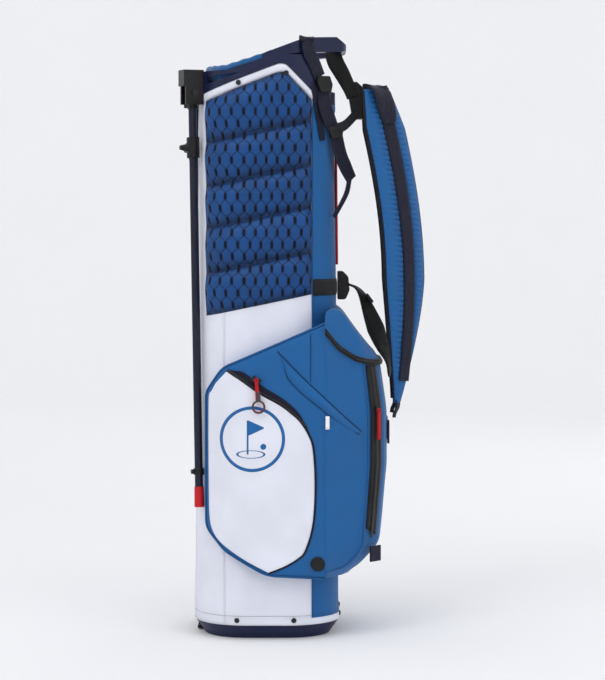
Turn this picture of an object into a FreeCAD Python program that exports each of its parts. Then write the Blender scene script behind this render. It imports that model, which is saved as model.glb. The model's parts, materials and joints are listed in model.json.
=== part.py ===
"""Golf stand bag: a tall fabric bag on a moulded base, with a moulded top collar and carry handle, two
folding legs with their actuator rods, a hinged foot plate, pockets with zips, and a double shoulder strap.

Millimetres. +Z is up, +X points to the spine (handle, straps and ball pocket), -X to the legs, and the
origin is on the floor in the middle of the bag. The bag is mirrored about the plane Y = 0 where it can be."""

import FreeCAD
import Part
import math
import os

V = FreeCAD.Vector

# ---- driving sizes ----------------------------------------------------------------------------------
PEAK_Z = 837.0              # highest point of the fabric's top edge
BODY_HALF_X_LOW = 106.0     # half width of the body at the base
BODY_HALF_X_TOP = 98.0      # half width of the body at the collar
BODY_HALF_Y_LOW = 108.0     # half depth of the body at the base
BODY_HALF_Y_TOP = 104.0     # half depth of the body at the collar
CORNER_LOW = 78.0           # corner radius of the body at the base
CORNER_TOP = 74.0           # corner radius of the body at the collar
WALL = 2.5                  # body fabric with its lining
FIT = 0.3                   # gap left between parts that only lie against each other
PIN_FIT = 0.15              # radial clearance of a turning pin

BAND_TOP = 20.0             # top of the base's visible band
CUP_FLOOR = 9.0             # underside of the base's floor
CUP_WALL = 3.0              # base wall and floor
CUP_FLANGE = 26.0           # how far the base reaches up inside the fabric
CUP_TAPER = 14.0            # how much narrower the band is at the bottom
CUP_INSIDE = 9.8            # inside of the base's wall, from the body's outline

GROOVE_HALF = 30.0          # rod channel in the leg side: half width
GROOVE_DEPTH = 9.0          # rod channel depth
GROOVE_DROP = 147.0         # the channel ends this far below the fabric's peak

LEG_LENGTH = 605.0          # from the leg's hinge to the tip of its foot
LEG_R = 6.0                 # leg tube, outside
LEG_BORE = 5.0              # leg tube, inside
LEG_HALF_SPACING = 58.0     # from the middle plane to a leg's hinge
LEG_STANDOFF = 10.5         # from the body to a leg's hinge
LEG_TOE_OUT = 20.0          # how much further out the foot is, along Y
LEG_TOE_IN = 10.0           # how much nearer the bag the foot is, along X
SPLAY_DEG = 22.0            # each leg swings this far off the middle plane
HINGE_DROP = 42.0           # leg hinge below the fabric's peak
HINGE_PIN_R = 3.0
HEAD_R = 8.0                # leg head knuckle
HEAD_HALF = 8.0             # half the head's width
CHEEK = 4.0                 # bracket cheek thickness
CHEEK_GAP = 0.5             # between head and cheek
CLAMP_DROP = 80.0           # clamp below the hinge, along the leg
CLAMP_R = 9.5
CLAMP_HEIGHT = 30.0
FOOT_HEIGHT = 30.0
FOOT_R = 7.3

ROD_R = 2.0
ROD_INSET = 5.0             # rod axis behind the body's flat leg side
ROD_HALF_SPACING = 14.0     # rod axis from the middle plane, low down
ROD_GAP = 4.0               # rod end above the foot plate's lip when the legs are folded

PLATE_HINGE_INSET = 26.0    # foot plate hinge behind the body's flat leg side
PLATE_HINGE_Z = 5.0
PLATE_PIN_R = 1.8
PLATE_THICK = 4.5
PLATE_BOTTOM = 2.0
PAD_FOOT_R = 9.0            # foot pad radius
PAD_LIFT = 0.5              # the corner pads stand this far off the floor
LIP_HALF = 24.0             # half width of the foot plate's lip

COLLAR_WALL = 4.0
COLLAR_PROUD = 1.5          # the collar's visible part stands this far out of the fabric
FLANGE_DEPTH = 30.0         # collar below the fabric's top edge
HANDLE_REACH = 116.0        # handle's end from the middle of the bag
HANDLE_BAR = 16.0           # handle bar width, seen from above
HANDLE_RISE = 39.0          # handle's top above the fabric's peak
HANDLE_DEEP = 22.0          # handle bar height

TRIM_HEIGHT = 12.0          # sewn edge band under the collar
TRIM_PROUD = 1.2
PAD_PROUD = 6.5             # quilted side pad
PAD_RIGHT = 63.0            # quilted pad's spine-side edge
PAD_LEFT = 88.0             # quilted pad's leg-side edge
PAD_LOW_Z = 486.0           # middle of the quilted pad's lower edge
PAD_SLOPE = 0.21            # rise of its seams per mm towards the spine

POCKET_FRONT = 132.0        # front of a side pocket from the middle plane
POCKET_LOW = 92.0           # lowest point of the pockets
POCKET_TOP = 455.0          # where the side pocket meets the ball pocket's seam
POCKET_LEFT = 89.0          # side pocket's leg-side edge
SEAM_X = 66.0               # seam between the side and spine panels
POCKET_SEAM_X = 84.0        # seam between the side and ball pockets
FLAP_THICK = 2.5
BADGE_R = 10.5              # round badge on the near pocket
ZIP_THICK = 1.6

BALL_REACH = 177.0          # ball pocket's outer face from the middle of the bag
BALL_CORNER_X = 147.0       # where its corner zip starts
BALL_CORNER_Y = 92.0
LID_RISE = 31.0             # lid's highest point above the pocket seam's top

BELT_Z = 512.0              # webbing belt round the spine
WEB_WIDTH = 24.0
WEB_THICK = 2.2

STRAP_Y = 46.0              # shoulder pad from the middle plane
PAD_HALF = 37.5             # shoulder pad, half width
PAD_TURN = 40.0             # shoulder pad turned this far towards its side of the bag
WEB_OFFSET = 4.0            # webbing off the pad's middle
PAD_THICK = 13.0
PAD_BOW = 31.0              # how far the shoulder pad bows out

PARTS = "parts"


# ---- shape helpers ----------------------------------------------------------------------------------
def save(name, shape):
    """Write one sub-part. A compound holds the separate solids of a group."""
    solids = shape.Solids
    if not solids or not shape.isValid() or any(s.Volume <= 0 for s in solids):
        raise ValueError(name + " is not a closed solid")
    Part.makeCompound(solids).exportStep(os.path.join(PARTS, name + ".step"))


def mirrored(shape):
    return shape.mirror(V(0, 0, 0), V(0, 1, 0))


def both(shape):
    return Part.makeCompound(shape.Solids + mirrored(shape).Solids)


def fuse(shapes):
    """One body from touching shapes."""
    joined = shapes[0].multiFuse(shapes[1:])
    return joined.removeSplitter()


def box(x0, x1, y0, y1, z0, z1):
    return Part.makeBox(x1 - x0, y1 - y0, z1 - z0, V(x0, y0, z0))


def cylinder(r, start, end):
    axis = end.sub(start)
    return Part.makeCylinder(r, axis.Length, start, axis)


def cone(r0, r1, start, end):
    axis = end.sub(start)
    return Part.makeCone(r0, r1, axis.Length, start, axis)


def rounded(points, radii):
    """Edges through points, closed, each corner an arc of its radius (0 leaves it sharp)."""
    n = len(points)
    starts, ends, mids = [], [], []
    for i, p in enumerate(points):
        before = points[i - 1].sub(p)
        after = points[(i + 1) % n].sub(p)
        r = radii[i] if isinstance(radii, (list, tuple)) else radii
        if r <= 0:
            starts.append(p)
            ends.append(p)
            mids.append(None)
            continue
        half = before.getAngle(after) / 2
        before.normalize()
        after.normalize()
        cut = r / math.tan(half)
        middle = before.add(after)
        middle.normalize()
        centre = p.add(middle * (r / math.sin(half)))
        starts.append(p.add(before * cut))
        ends.append(p.add(after * cut))
        mids.append(centre.sub(middle * r))
    edges = []
    for i in range(n):
        if mids[i] is not None:
            edges.append(Part.Arc(starts[i], mids[i], ends[i]).toShape())
        nxt = (i + 1) % n
        if ends[i].distanceToPoint(starts[nxt]) > 1e-6:
            edges.append(Part.LineSegment(ends[i], starts[nxt]).toShape())
    return Part.Wire(edges)


def side_plate(points, radii, y0, y1):
    """An outline of (x, z) points seen from the side, from y0 to y1."""
    wire = rounded([V(x, y0, z) for x, z in points], radii)
    return Part.Face(wire).extrude(V(0, y1 - y0, 0))


def plan_block(points, radii, z0, z1):
    """An outline of (x, y) points seen from above, from z0 to z1."""
    wire = rounded([V(x, y, z0) for x, y in points], radii)
    return Part.Face(wire).extrude(V(0, 0, z1 - z0))


def between(lower, upper, half=250.0):
    """Everything between two lines of (x, z) points, right across the bag."""
    return side_plate(list(lower) + list(reversed(upper)), 0, -half, half)


def bent_path(points, radii):
    """An open path of straight runs joined by tangent arcs."""
    edges = []
    last = points[0]
    for i in range(1, len(points) - 1):
        p = points[i]
        before = points[i - 1].sub(p)
        after = points[i + 1].sub(p)
        half = before.getAngle(after) / 2
        before.normalize()
        after.normalize()
        middle = before.add(after)
        middle.normalize()
        cut = radii[i - 1] / math.tan(half)
        centre = p.add(middle * (radii[i - 1] / math.sin(half)))
        start, end = p.add(before * cut), p.add(after * cut)
        edges.append(Part.LineSegment(last, start).toShape())
        edges.append(Part.Arc(start, centre.sub(middle * radii[i - 1]), end).toShape())
        last = end
    edges.append(Part.LineSegment(last, points[-1]).toShape())
    return Part.Wire(edges)


def wire_rod(points, radii, r):
    path = bent_path(points, radii)
    ring = Part.Wire(Part.makeCircle(r, points[0], points[1].sub(points[0])))
    return path.makePipeShell([ring], True, False)


def ribbon(points, thick, y0, y1):
    """Webbing seen edge-on from the side: a line of (x, z) points with a thickness."""
    left, right = [], []
    for i, (x, z) in enumerate(points):
        x0, z0 = points[max(i - 1, 0)]
        x1, z1 = points[min(i + 1, len(points) - 1)]
        length = math.hypot(x1 - x0, z1 - z0)
        nx, nz = -(z1 - z0) / length, (x1 - x0) / length
        left.append((x + nx * thick / 2, z + nz * thick / 2))
        right.append((x - nx * thick / 2, z - nz * thick / 2))
    return side_plate(left + list(reversed(right)), 0, y0, y1)


# ---- the body's tapering outline --------------------------------------------------------------------
def body_size(z, grow=0.0):
    """(half width, half depth, corner radius) of the body at a height."""
    t = (z - BAND_TOP) / (PEAK_Z - BAND_TOP)
    hx = BODY_HALF_X_LOW + (BODY_HALF_X_TOP - BODY_HALF_X_LOW) * t
    hy = BODY_HALF_Y_LOW + (BODY_HALF_Y_TOP - BODY_HALF_Y_LOW) * t
    r = CORNER_LOW + (CORNER_TOP - CORNER_LOW) * t
    return hx + grow, hy + grow, r + grow


def body_x(z, grow=0.0):
    return body_size(z, grow)[0]


def body_y(z, grow=0.0):
    return body_size(z, grow)[1]


def section(z, grow=0.0):
    hx, hy, r = body_size(z, grow)
    corners = [V(hx, -hy, z), V(hx, hy, z), V(-hx, hy, z), V(-hx, -hy, z)]
    return rounded(corners, r)


def body(z0, z1, grow=0.0):
    """The body's outer shape between two heights, grown or shrunk."""
    return Part.makeLoft([section(z0, grow), section(z1, grow)], True, True)


def shell(z0, z1, outer, inner):
    return body(z0, z1, outer).cut(body(z0 - 1, z1 + 1, inner))


def groove(z0, z1, deeper=0.0):
    """The rod channel down the leg side, as a cutter that follows the taper."""
    half = GROOVE_HALF + deeper
    floors = [(z, GROOVE_DEPTH + deeper - body_x(z)) for z in (z0, z1)]
    rings = []
    for z, floor in floors:
        corners = [V(-400, -half, z), V(floor, -half, z), V(floor, half, z), V(-400, half, z)]
        rings.append(Part.makePolygon(corners + corners[:1]))
    return Part.makeLoft(rings, True, True)


# ---- lines across the top, seen from the side -------------------------------------------------------
FAR = 300.0
HINGE_Z = PEAK_Z - HINGE_DROP


def top_edge(shift=0.0):
    """The fabric's top edge: low at the legs, a peak, then down to the spine."""
    x = BODY_HALF_X_TOP
    return [(-FAR, PEAK_Z - 47 + shift), (-x - 3, PEAK_Z - 47 + shift), (0.18 * x, PEAK_Z - 2 + shift),
            (0.28 * x, PEAK_Z - 2 + shift), (0.84 * x, PEAK_Z - 58 + shift), (FAR, PEAK_Z - 66 + shift)]


def rim_edge(shift=0.0):
    """The collar's upper edge, with the throat under the handle at the spine."""
    x = BODY_HALF_X_TOP
    return [(-FAR, PEAK_Z - 14 + shift), (-0.6 * x, PEAK_Z - 11 + shift), (-0.2 * x, PEAK_Z + 1 + shift),
            (0.1 * x, PEAK_Z + 11 + shift), (0.64 * x, PEAK_Z + 11 + shift), (0.74 * x, PEAK_Z - 40 + shift),
            (FAR, PEAK_Z - 47 + shift)]


FLOOR_LINE = [(-FAR, 0.0), (FAR, 0.0)]
SKY_LINE = [(-FAR, PEAK_Z + 200), (FAR, PEAK_Z + 200)]
GROOVE_TOP = PEAK_Z - GROOVE_DROP


# ---- body fabric ------------------------------------------------------------------------------------
def fabric_shell():
    """The whole fabric tube, before it is cut into its sewn panels."""
    high = PEAK_Z + 5
    outside = body(BAND_TOP, high).cut(groove(BAND_TOP - 5, GROOVE_TOP))
    inside = body(BAND_TOP - 1, high + 1, -WALL).cut(groove(BAND_TOP - 5, GROOVE_TOP + WALL, WALL))
    return outside.cut(inside).common(between(FLOOR_LINE, top_edge()))


def leg_side_strips(panel):
    """The leg side's four sewn strips: one at each corner, the rod channel's floor, and the one above it."""
    seams = [box(-FAR, 0, y - FIT, y, 0, PEAK_Z) for y in (GROOVE_HALF, FIT - GROOVE_HALF)]
    seams.append(box(-FAR, 0, -GROOVE_HALF, GROOVE_HALF, GROOVE_TOP - FIT, GROOVE_TOP))
    return panel.cut(Part.makeCompound(seams))


def panels():
    tube = fabric_shell()
    reach = FAR
    leg_cut = -BODY_HALF_X_TOP * 0.62
    near = tube.common(box(leg_cut, SEAM_X, -reach, 0, 0, 2 * reach * 3))
    save("side_panel_near", near)
    save("side_panel_far", mirrored(near))
    leg_side = tube.common(box(-reach, leg_cut, -reach, reach, 0, 2 * reach * 3))
    save("leg_side_panel", leg_side_strips(leg_side))
    save("spine_panel", tube.common(box(SEAM_X, reach, -reach, reach, 0, 2 * reach * 3)))


def top_trim():
    low = PEAK_Z - 90
    ring = shell(low, PEAK_Z + 5, FIT + TRIM_PROUD, FIT)
    save("top_trim", ring.common(between(top_edge(-TRIM_HEIGHT), top_edge(-FIT))))


def pad_lower(shift=0.0):
    rise = PAD_SLOPE * FAR
    return [(-FAR, PAD_LOW_Z - rise + shift), (FAR, PAD_LOW_Z + rise + shift)]


def quilted_pads():
    ring = shell(PAD_LOW_Z - 60, PEAK_Z, PAD_PROUD, FIT)
    area = between(pad_lower(), top_edge(-TRIM_HEIGHT - FIT))
    side = box(-PAD_LEFT, PAD_RIGHT, -FAR, 0, 0, PEAK_Z + 50)
    save("quilted_pads", both(ring.common(area).common(side)))


def spine_trim():
    """The stiff strip down the spine, with piping along both its edges."""
    low, high, half, thick = BELT_Z + 32, PEAK_Z - 82, 20.0, 3.0
    strip = shell(low, high, FIT + thick, FIT).common(box(0, FAR, -half, half, low, high))
    save("spine_strip", strip)
    y = half + 1.6 + FIT
    pipes = []
    for side in (-y, y):
        start = V(body_x(low, 2.0), side, low)
        end = V(body_x(high - 20, 2.0), side, high - 20)
        pipes.append(cylinder(1.6, start, end))
    save("red_piping", Part.makeCompound(pipes))


def stay_rods():
    """Two stiffening rods inside the fabric, from the base up to the collar."""
    low, high, r = CUP_FLOOR + CUP_WALL, PEAK_Z - 55, 3.5
    inset = CUP_INSIDE + FIT + r
    start = V(24, -body_y(low, -inset), low)
    end = V(24, -body_y(high, -inset), high)
    save("stay_rods", both(cylinder(r, start, end)))


# ---- base, foot plate and rivets --------------------------------------------------------------------
PLATE_HINGE_X = PLATE_HINGE_INSET - BODY_HALF_X_LOW
LIP_TIP = -BODY_HALF_X_LOW + 2.0
NOTCH_HALF = GROOVE_HALF + 1.0
NOTCH_BACK = PLATE_HINGE_X + 7.0
LUG_IN = 45.0
LUG_OUT = 51.0


def band_ring(z, grow):
    hx, hy, r = body_size(BAND_TOP, grow)
    return rounded([V(hx, -hy, z), V(hx, hy, z), V(-hx, hy, z), V(-hx, -hy, z)], r)


def plate_pin():
    """The foot plate's hinge pin."""
    ends = [V(PLATE_HINGE_X, y, PLATE_HINGE_Z) for y in (-LUG_OUT, LUG_OUT)]
    return cylinder(PLATE_PIN_R, *ends)


def base_cup():
    """Moulded base: a tapering band, a floor, and a flange that the fabric is riveted to."""
    top = BAND_TOP + CUP_FLANGE
    flange_out = -WALL - FIT
    outer = Part.makeLoft([band_ring(0.0, -CUP_TAPER), band_ring(BAND_TOP - FIT, 0.0)], True, True)
    outer = fuse([outer, body(BAND_TOP - FIT, top, flange_out)])
    inner_low = CUP_FLOOR + CUP_WALL
    inside = body(inner_low, top + 1, -CUP_INSIDE)
    cup = outer.cut(inside)
    under_rings = [band_ring(-1, -CUP_TAPER - CUP_WALL), band_ring(CUP_FLOOR, -CUP_TAPER)]
    under = Part.makeLoft(under_rings, True, True)
    cup = cup.cut(under)
    wall_box = box(-FAR, NOTCH_BACK + CUP_WALL, -NOTCH_HALF - CUP_WALL, NOTCH_HALF + CUP_WALL, CUP_FLOOR, top)
    housing = body(CUP_FLOOR, top, flange_out - 1).common(wall_box)
    cup = fuse([cup, housing])
    cup = cup.cut(box(-FAR, NOTCH_BACK, -NOTCH_HALF, NOTCH_HALF, -5, BAND_TOP + 4))
    cup = cup.cut(groove(BAND_TOP - 10, top + 5, WALL + FIT))
    lug = box(PLATE_HINGE_X - 5, PLATE_HINGE_X + 5, LUG_IN, LUG_OUT, PLATE_HINGE_Z - 3, CUP_FLOOR + 1)
    cup = fuse([cup, lug, mirrored(lug)])
    return cup.cut(plate_pin())


def foot_plate():
    """Hinged plate under the base. Its lip reaches out under the rods and lifts them as the bag leans."""
    hx, hy, r = body_size(BAND_TOP, -CUP_TAPER - CUP_WALL - 2.0)
    z0, z1 = PLATE_BOTTOM, PLATE_BOTTOM + PLATE_THICK
    front = PLATE_HINGE_X + 12
    sole = plan_block([(hx, -hy), (hx, hy), (-hx, hy), (-hx, -hy)], r, z0, z1)
    sole = sole.common(box(front, hx, -hy, hy, z0, z1))
    neck = box(PLATE_HINGE_X, front + 1, -LUG_IN + 0.5, LUG_IN - 0.5, z0, z1)
    lip = box(LIP_TIP, PLATE_HINGE_X, -LIP_HALF, LIP_HALF, z0, z1)
    ends = [V(PLATE_HINGE_X, s * (LUG_IN - 0.5), PLATE_HINGE_Z) for s in (-1, 1)]
    barrel = cylinder(3.6, ends[0], ends[1])
    plate = fuse([sole, neck, lip, barrel])
    return plate.cut(cylinder(PLATE_PIN_R + PIN_FIT, ends[0], ends[1]))


def base_group():
    save("base_cup", base_cup())
    save("foot_plate", foot_plate())
    hx, hy, _ = body_size(BAND_TOP, -CUP_TAPER - 34)
    pads = [cylinder(PAD_FOOT_R, V(0, 0, 0), V(0, 0, PLATE_BOTTOM))]
    for x in (PLATE_HINGE_X + 30, hx):
        for y in (-hy, hy):
            pads.append(cylinder(PAD_FOOT_R, V(x, y, PAD_LIFT), V(x, y, PLATE_BOTTOM)))
    save("foot_pads", Part.makeCompound(pads))


def on_outline(z, angle_deg, grow=0.0):
    """A point and outward direction on the body's outline, at an angle seen from above."""
    hx, hy, r = body_size(z, grow)
    a = math.radians(angle_deg)
    direction = V(math.cos(a), math.sin(a), 0)
    probe = Part.makeLine(V(0, 0, z), V(direction.x * FAR, direction.y * FAR, z))
    hit = probe.distToShape(section(z, grow))[1][0][0]
    cx = max(-(hx - r), min(hx - r, hit.x))
    cy = max(-(hy - r), min(hy - r, hit.y))
    outward = V(hit.x - cx, hit.y - cy, 0)
    if abs(hit.x) > hx - 0.01:
        outward = V(math.copysign(1, hit.x), 0, 0)
    if abs(hit.y) > hy - 0.01:
        outward = V(0, math.copysign(1, hit.y), 0)
    outward.normalize()
    return hit, outward


RIVET_HEAD_R = 3.8
BASE_RIVETS = (-112, -70, -20, 20, 70, 112)
RIVET_Z = BAND_TOP + 8.0


def base_rivet_solids():
    solids = []
    for angle in BASE_RIVETS:
        point, out = on_outline(RIVET_Z, angle)
        solids.append(cylinder(RIVET_HEAD_R, point, point.add(out * 2.0)))
    return solids


def top_rivet_solids():
    """Rivets through the edge band, two on each side."""
    solids = []
    for x, drop in ((-0.41 * BODY_HALF_X_TOP, 22.5), (0.29 * BODY_HALF_X_TOP, 9.0)):
        z = PEAK_Z - drop
        for side in (-1, 1):
            y = side * body_y(z, FIT + TRIM_PROUD + 0.1)
            hx, hy, r = body_size(z, FIT + TRIM_PROUD + 0.1)
            if abs(x) > hx - r:
                y = side * (hy - r + math.sqrt(r * r - (abs(x) - hx + r) ** 2))
            out = V(0, side, 0)
            centre = V(max(-(hx - r), min(hx - r, x)), side * (hy - r), z)
            if abs(x) > hx - r:
                out = V(x, y, z).sub(centre)
                out.normalize()
            start = V(x, y, z)
            solids.append(cylinder(RIVET_HEAD_R, start, start.add(out * 2.0)))
    return solids


# ---- collar, handle and dividers --------------------------------------------------------------------
HANDLE_TOP = PEAK_Z + HANDLE_RISE


def handle_block():
    """Carry handle: a bow seen from above, cut to its rising line seen from the side."""
    hx, hy, _ = body_size(PEAK_Z, COLLAR_PROUD)
    outer = [(-10, -hy), (0.46 * hx, -hy), (HANDLE_REACH, -0.46 * hy),
             (HANDLE_REACH, 0.46 * hy), (0.46 * hx, hy), (-10, hy)]
    inset = HANDLE_BAR
    bend, end_y = 0.46 * hx - 0.3 * inset, 0.46 * hy - 0.5 * inset
    inner = [(-20, -hy + inset), (bend, -hy + inset), (HANDLE_REACH - inset, -end_y),
             (HANDLE_REACH - inset, end_y), (bend, hy - inset), (-20, hy - inset)]
    z0, z1 = PEAK_Z - 60, HANDLE_TOP + 5
    bow = plan_block(outer, [0, 40, 22, 22, 40, 0], z0, z1)
    bow = bow.cut(plan_block(inner, [0, 28, 12, 12, 28, 0], z0 - 1, z1 + 1))
    low = HANDLE_TOP - HANDLE_DEEP
    profile = [(-6, PEAK_Z + 4), (0.1 * hx, PEAK_Z + 8), (0.5 * hx, low - 3), (HANDLE_REACH - 8, low + 1),
               (HANDLE_REACH + 2, low + 4), (HANDLE_REACH + 2, HANDLE_TOP - 12), (HANDLE_REACH - 14,
                                                                                  HANDLE_TOP),
               (0.6 * hx, HANDLE_TOP - 3), (0.45 * hx, HANDLE_TOP - 8), (-6, PEAK_Z + 12)]
    return bow.common(side_plate(profile, 0, -FAR, FAR))


def bar_boxes(half, low, high, clear):
    """The two divider bars: one from the legs to the spine, one across."""
    z = PEAK_Z + 10
    hx, hy, _ = body_size(z, -WALL - COLLAR_WALL - clear)
    long_bar = box(-hx - 3, hx + 3, -half, half, 0, FAR * 5)
    cross_bar = box(CROSS_X - half, CROSS_X + half, -hy - 3, hy + 3, 0, FAR * 5)
    inside = body(PEAK_Z - 150, PEAK_Z + 80, -WALL - FIT - COLLAR_WALL - clear)
    bars = fuse([long_bar, cross_bar]).common(between(rim_edge(low), rim_edge(high)))
    return bars.common(inside)


CROSS_X = -14.0
BAR_HALF = 2.5
PADDED_HALF = 7.0
RIM_PAD = 8.0


def collar():
    low = PEAK_Z - 150
    high = PEAK_Z + 40
    inner = -WALL - FIT - COLLAR_WALL
    visible = shell(low, high, COLLAR_PROUD, inner).common(between(top_edge(), rim_edge()))
    flange = shell(low, high, -WALL - FIT, inner).common(between(top_edge(-FLANGE_DEPTH), top_edge(0.5)))
    bars = bar_boxes(BAR_HALF, -26, -3, -1.0)
    ring = fuse([visible, flange, handle_block(), bars])
    slot_z = PEAK_Z - 26
    slot_y = BODY_HALF_Y_TOP
    slot = [(-0.88 * BODY_HALF_X_TOP, slot_z - 4), (-0.4 * BODY_HALF_X_TOP, slot_z + 11),
            (-0.88 * BODY_HALF_X_TOP, slot_z + 6)]
    cutter = side_plate(slot, 0, -slot_y - 10, -slot_y * 0.4)
    return ring.cut(cutter).cut(mirrored(cutter))


def rim_padding():
    """Soft roll inside the collar's rim, standing a little above it."""
    outer = -WALL - 2 * FIT - COLLAR_WALL
    ring = shell(PEAK_Z - 150, PEAK_Z + 60, outer, outer - RIM_PAD)
    ring = ring.common(between(rim_edge(-16), rim_edge(7)))
    keep = bar_boxes(BAR_HALF + FIT, -60, 40, -4.0)
    ring = ring.cut(keep).cut(handle_clearance())
    handle = handle_block()
    return ring.cut(handle).cut(handle.translated(V(0, 0, -1)))


def handle_clearance():
    """Room for the handle's two side bars where they pass over the rim's soft roll."""
    _, hy, _ = body_size(PEAK_Z, 0)
    side = box(-12, FAR, -FAR, -hy + HANDLE_BAR + 1, PEAK_Z - 20, PEAK_Z + 80)
    return Part.makeCompound([side, mirrored(side)])


def divider_padding():
    outer = bar_boxes(PADDED_HALF, -22, 9, RIM_PAD + 2 * FIT + 1)
    return outer.cut(bar_boxes(BAR_HALF + 0.01, -60, -3 + 0.01, -1.0))


def divider_sheets():
    """Thin fabric walls that hang from the divider bars down to the floor of the bag."""
    low = BAND_TOP + CUP_FLANGE + 4
    high = PEAK_Z - 80
    inset = -WALL - 2 * FIT - COLLAR_WALL - 6
    hx, hy, _ = body_size(high, inset)
    groove_wall = GROOVE_DEPTH + WALL + 2
    along = box(-hx + groove_wall, hx, -0.8, 0.8, low, high)
    across = box(CROSS_X - 0.8, CROSS_X + 0.8, -hy, -0.8, low, high)
    return Part.makeCompound([along, across, mirrored(across)])


# ---- legs, bracket and rods -------------------------------------------------------------------------
HINGE = V(-body_x(HINGE_Z) - LEG_STANDOFF, -LEG_HALF_SPACING, HINGE_Z)
SPLAY = math.radians(SPLAY_DEG)
OUTWARD = V(-math.cos(SPLAY), -math.sin(SPLAY), 0)     # the way the near leg swings
SIDEWAYS = V(math.sin(SPLAY), -math.cos(SPLAY), 0)     # along its hinge, away from the middle
LEG_DIRECTION = V(LEG_TOE_IN, -LEG_TOE_OUT, -LEG_LENGTH)
LEG_DIRECTION.normalize()
CLAMP_AT = HINGE.add(LEG_DIRECTION * CLAMP_DROP)


def at_hinge(u, w, z, origin=HINGE):
    """A point given by its distance outward, sideways and up from the near leg's hinge."""
    return origin.add(OUTWARD * u).add(SIDEWAYS * w).add(V(0, 0, z))


def hinge_box(u0, u1, w0, w1, z0, z1, origin=HINGE):
    corners = [at_hinge(u, w, z0, origin) for u, w in ((u0, w0), (u1, w0), (u1, w1), (u0, w1))]
    return Part.Face(Part.makePolygon(corners + corners[:1])).extrude(V(0, 0, z1 - z0))


def leg_bracket():
    inner = HEAD_HALF + CHEEK_GAP
    outer = inner + CHEEK
    head_room = HEAD_R + 1.5
    cheeks = [hinge_box(-14, 14, inner, outer, -17, 14), hinge_box(-14, 14, -outer, -inner, -17, 14)]
    cap = hinge_box(-14, 17, -outer, outer, head_room, 33)
    back = hinge_box(-34, -head_room, -outer, outer, -17, 33)
    front = body_x(HINGE_Z, COLLAR_PROUD)
    bridge = box(-front - 8, -front + 8, -LEG_HALF_SPACING + 11, 0.5, HINGE_Z - 12, HINGE_Z + 26)
    near = fuse(cheeks + [cap, back, bridge])
    bracket = fuse([near, mirrored(near)])
    bracket = bracket.cut(body(HINGE_Z - 60, HINGE_Z + 60, COLLAR_PROUD + FIT))
    hole = cylinder(HINGE_PIN_R, at_hinge(0, -outer - 1, 0), at_hinge(0, outer + 1, 0))
    return bracket.cut(hole).cut(mirrored(hole))


def hinge_pins():
    """The two leg pins, with a screw head on the outside, and the foot plate's pin."""
    outer = HEAD_HALF + CHEEK_GAP + CHEEK
    pin = cylinder(HINGE_PIN_R, at_hinge(0, -outer, 0), at_hinge(0, outer, 0))
    head = cylinder(HINGE_PIN_R + 1.8, at_hinge(0, outer, 0), at_hinge(0, outer + 1.8, 0))
    save("hinge_pins", Part.makeCompound(both(fuse([pin, head])).Solids + [plate_pin()]))


def screw_axes():
    """Bracket screws: (start inside the collar's wall, end at the bracket's face) pairs."""
    face = -body_x(HINGE_Z, COLLAR_PROUD) - 8
    pairs = []
    for y in (-26.0, 26.0):
        for z in (HINGE_Z, HINGE_Z + 18):
            pairs.append((V(-body_x(HINGE_Z) + 3.5, y, z), V(face, y, z)))
    return pairs


def bracket_screws():
    solids = []
    for start, end in screw_axes():
        shank = cylinder(1.8, start, end)
        head = cylinder(3.6, end, end.add(V(-2.2, 0, 0)))
        solids.append(fuse([shank, head]))
    return Part.makeCompound(solids)


def screw_holes(grow=0.0):
    return Part.makeCompound([cylinder(1.8 + grow, start, end) for start, end in screw_axes()])


def leg_head():
    knuckle = cylinder(HEAD_R, at_hinge(0, -HEAD_HALF, 0), at_hinge(0, HEAD_HALF, 0))
    socket = cylinder(7.2, HINGE, HINGE.add(LEG_DIRECTION * 24))
    head = fuse([knuckle, socket])
    head = head.cut(cylinder(HINGE_PIN_R + PIN_FIT, at_hinge(0, -20, 0), at_hinge(0, 20, 0)))
    return head.cut(cylinder(LEG_R, HINGE.add(LEG_DIRECTION * 10), HINGE.add(LEG_DIRECTION * 30)))


def leg_tube():
    start = HINGE.add(LEG_DIRECTION * 10)
    end = HINGE.add(LEG_DIRECTION * (LEG_LENGTH - 8))
    return cylinder(LEG_R, start, end).cut(cylinder(LEG_BORE, start, end))


def leg_foot():
    top = HINGE.add(LEG_DIRECTION * (LEG_LENGTH - FOOT_HEIGHT))
    tip = HINGE.add(LEG_DIRECTION * LEG_LENGTH)
    bore_end = HINGE.add(LEG_DIRECTION * (LEG_LENGTH - 8))
    boot = cone(LEG_R + 0.9, FOOT_R, top, tip)
    return boot.cut(cylinder(LEG_R, top.sub(LEG_DIRECTION * 5), bore_end))


LUG_REACH = 17.0


def leg_clamp():
    """Collar on the leg that the rod hooks into, with a bumper at its front."""
    half = LEG_DIRECTION * (CLAMP_HEIGHT / 2)
    ring = cylinder(CLAMP_R, CLAMP_AT.sub(half), CLAMP_AT.add(half))
    lug = hinge_box(-6, 6, -LUG_REACH, -LEG_R, -7, 7, CLAMP_AT)
    bumper = cone(6.5, 3.2, at_hinge(CLAMP_R - 3, 0, 0, CLAMP_AT), at_hinge(CLAMP_R + 11, 0, 0, CLAMP_AT))
    clamp = fuse([ring, lug, bumper])
    clamp = clamp.cut(cylinder(LEG_R, CLAMP_AT.sub(half * 1.5), CLAMP_AT.add(half * 1.5)))
    bore_ends = [at_hinge(0, -reach, 0, CLAMP_AT) for reach in (LUG_REACH + 5, LEG_R)]
    bore = cylinder(ROD_R + PIN_FIT, *bore_ends)
    return clamp.cut(bore)


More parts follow.
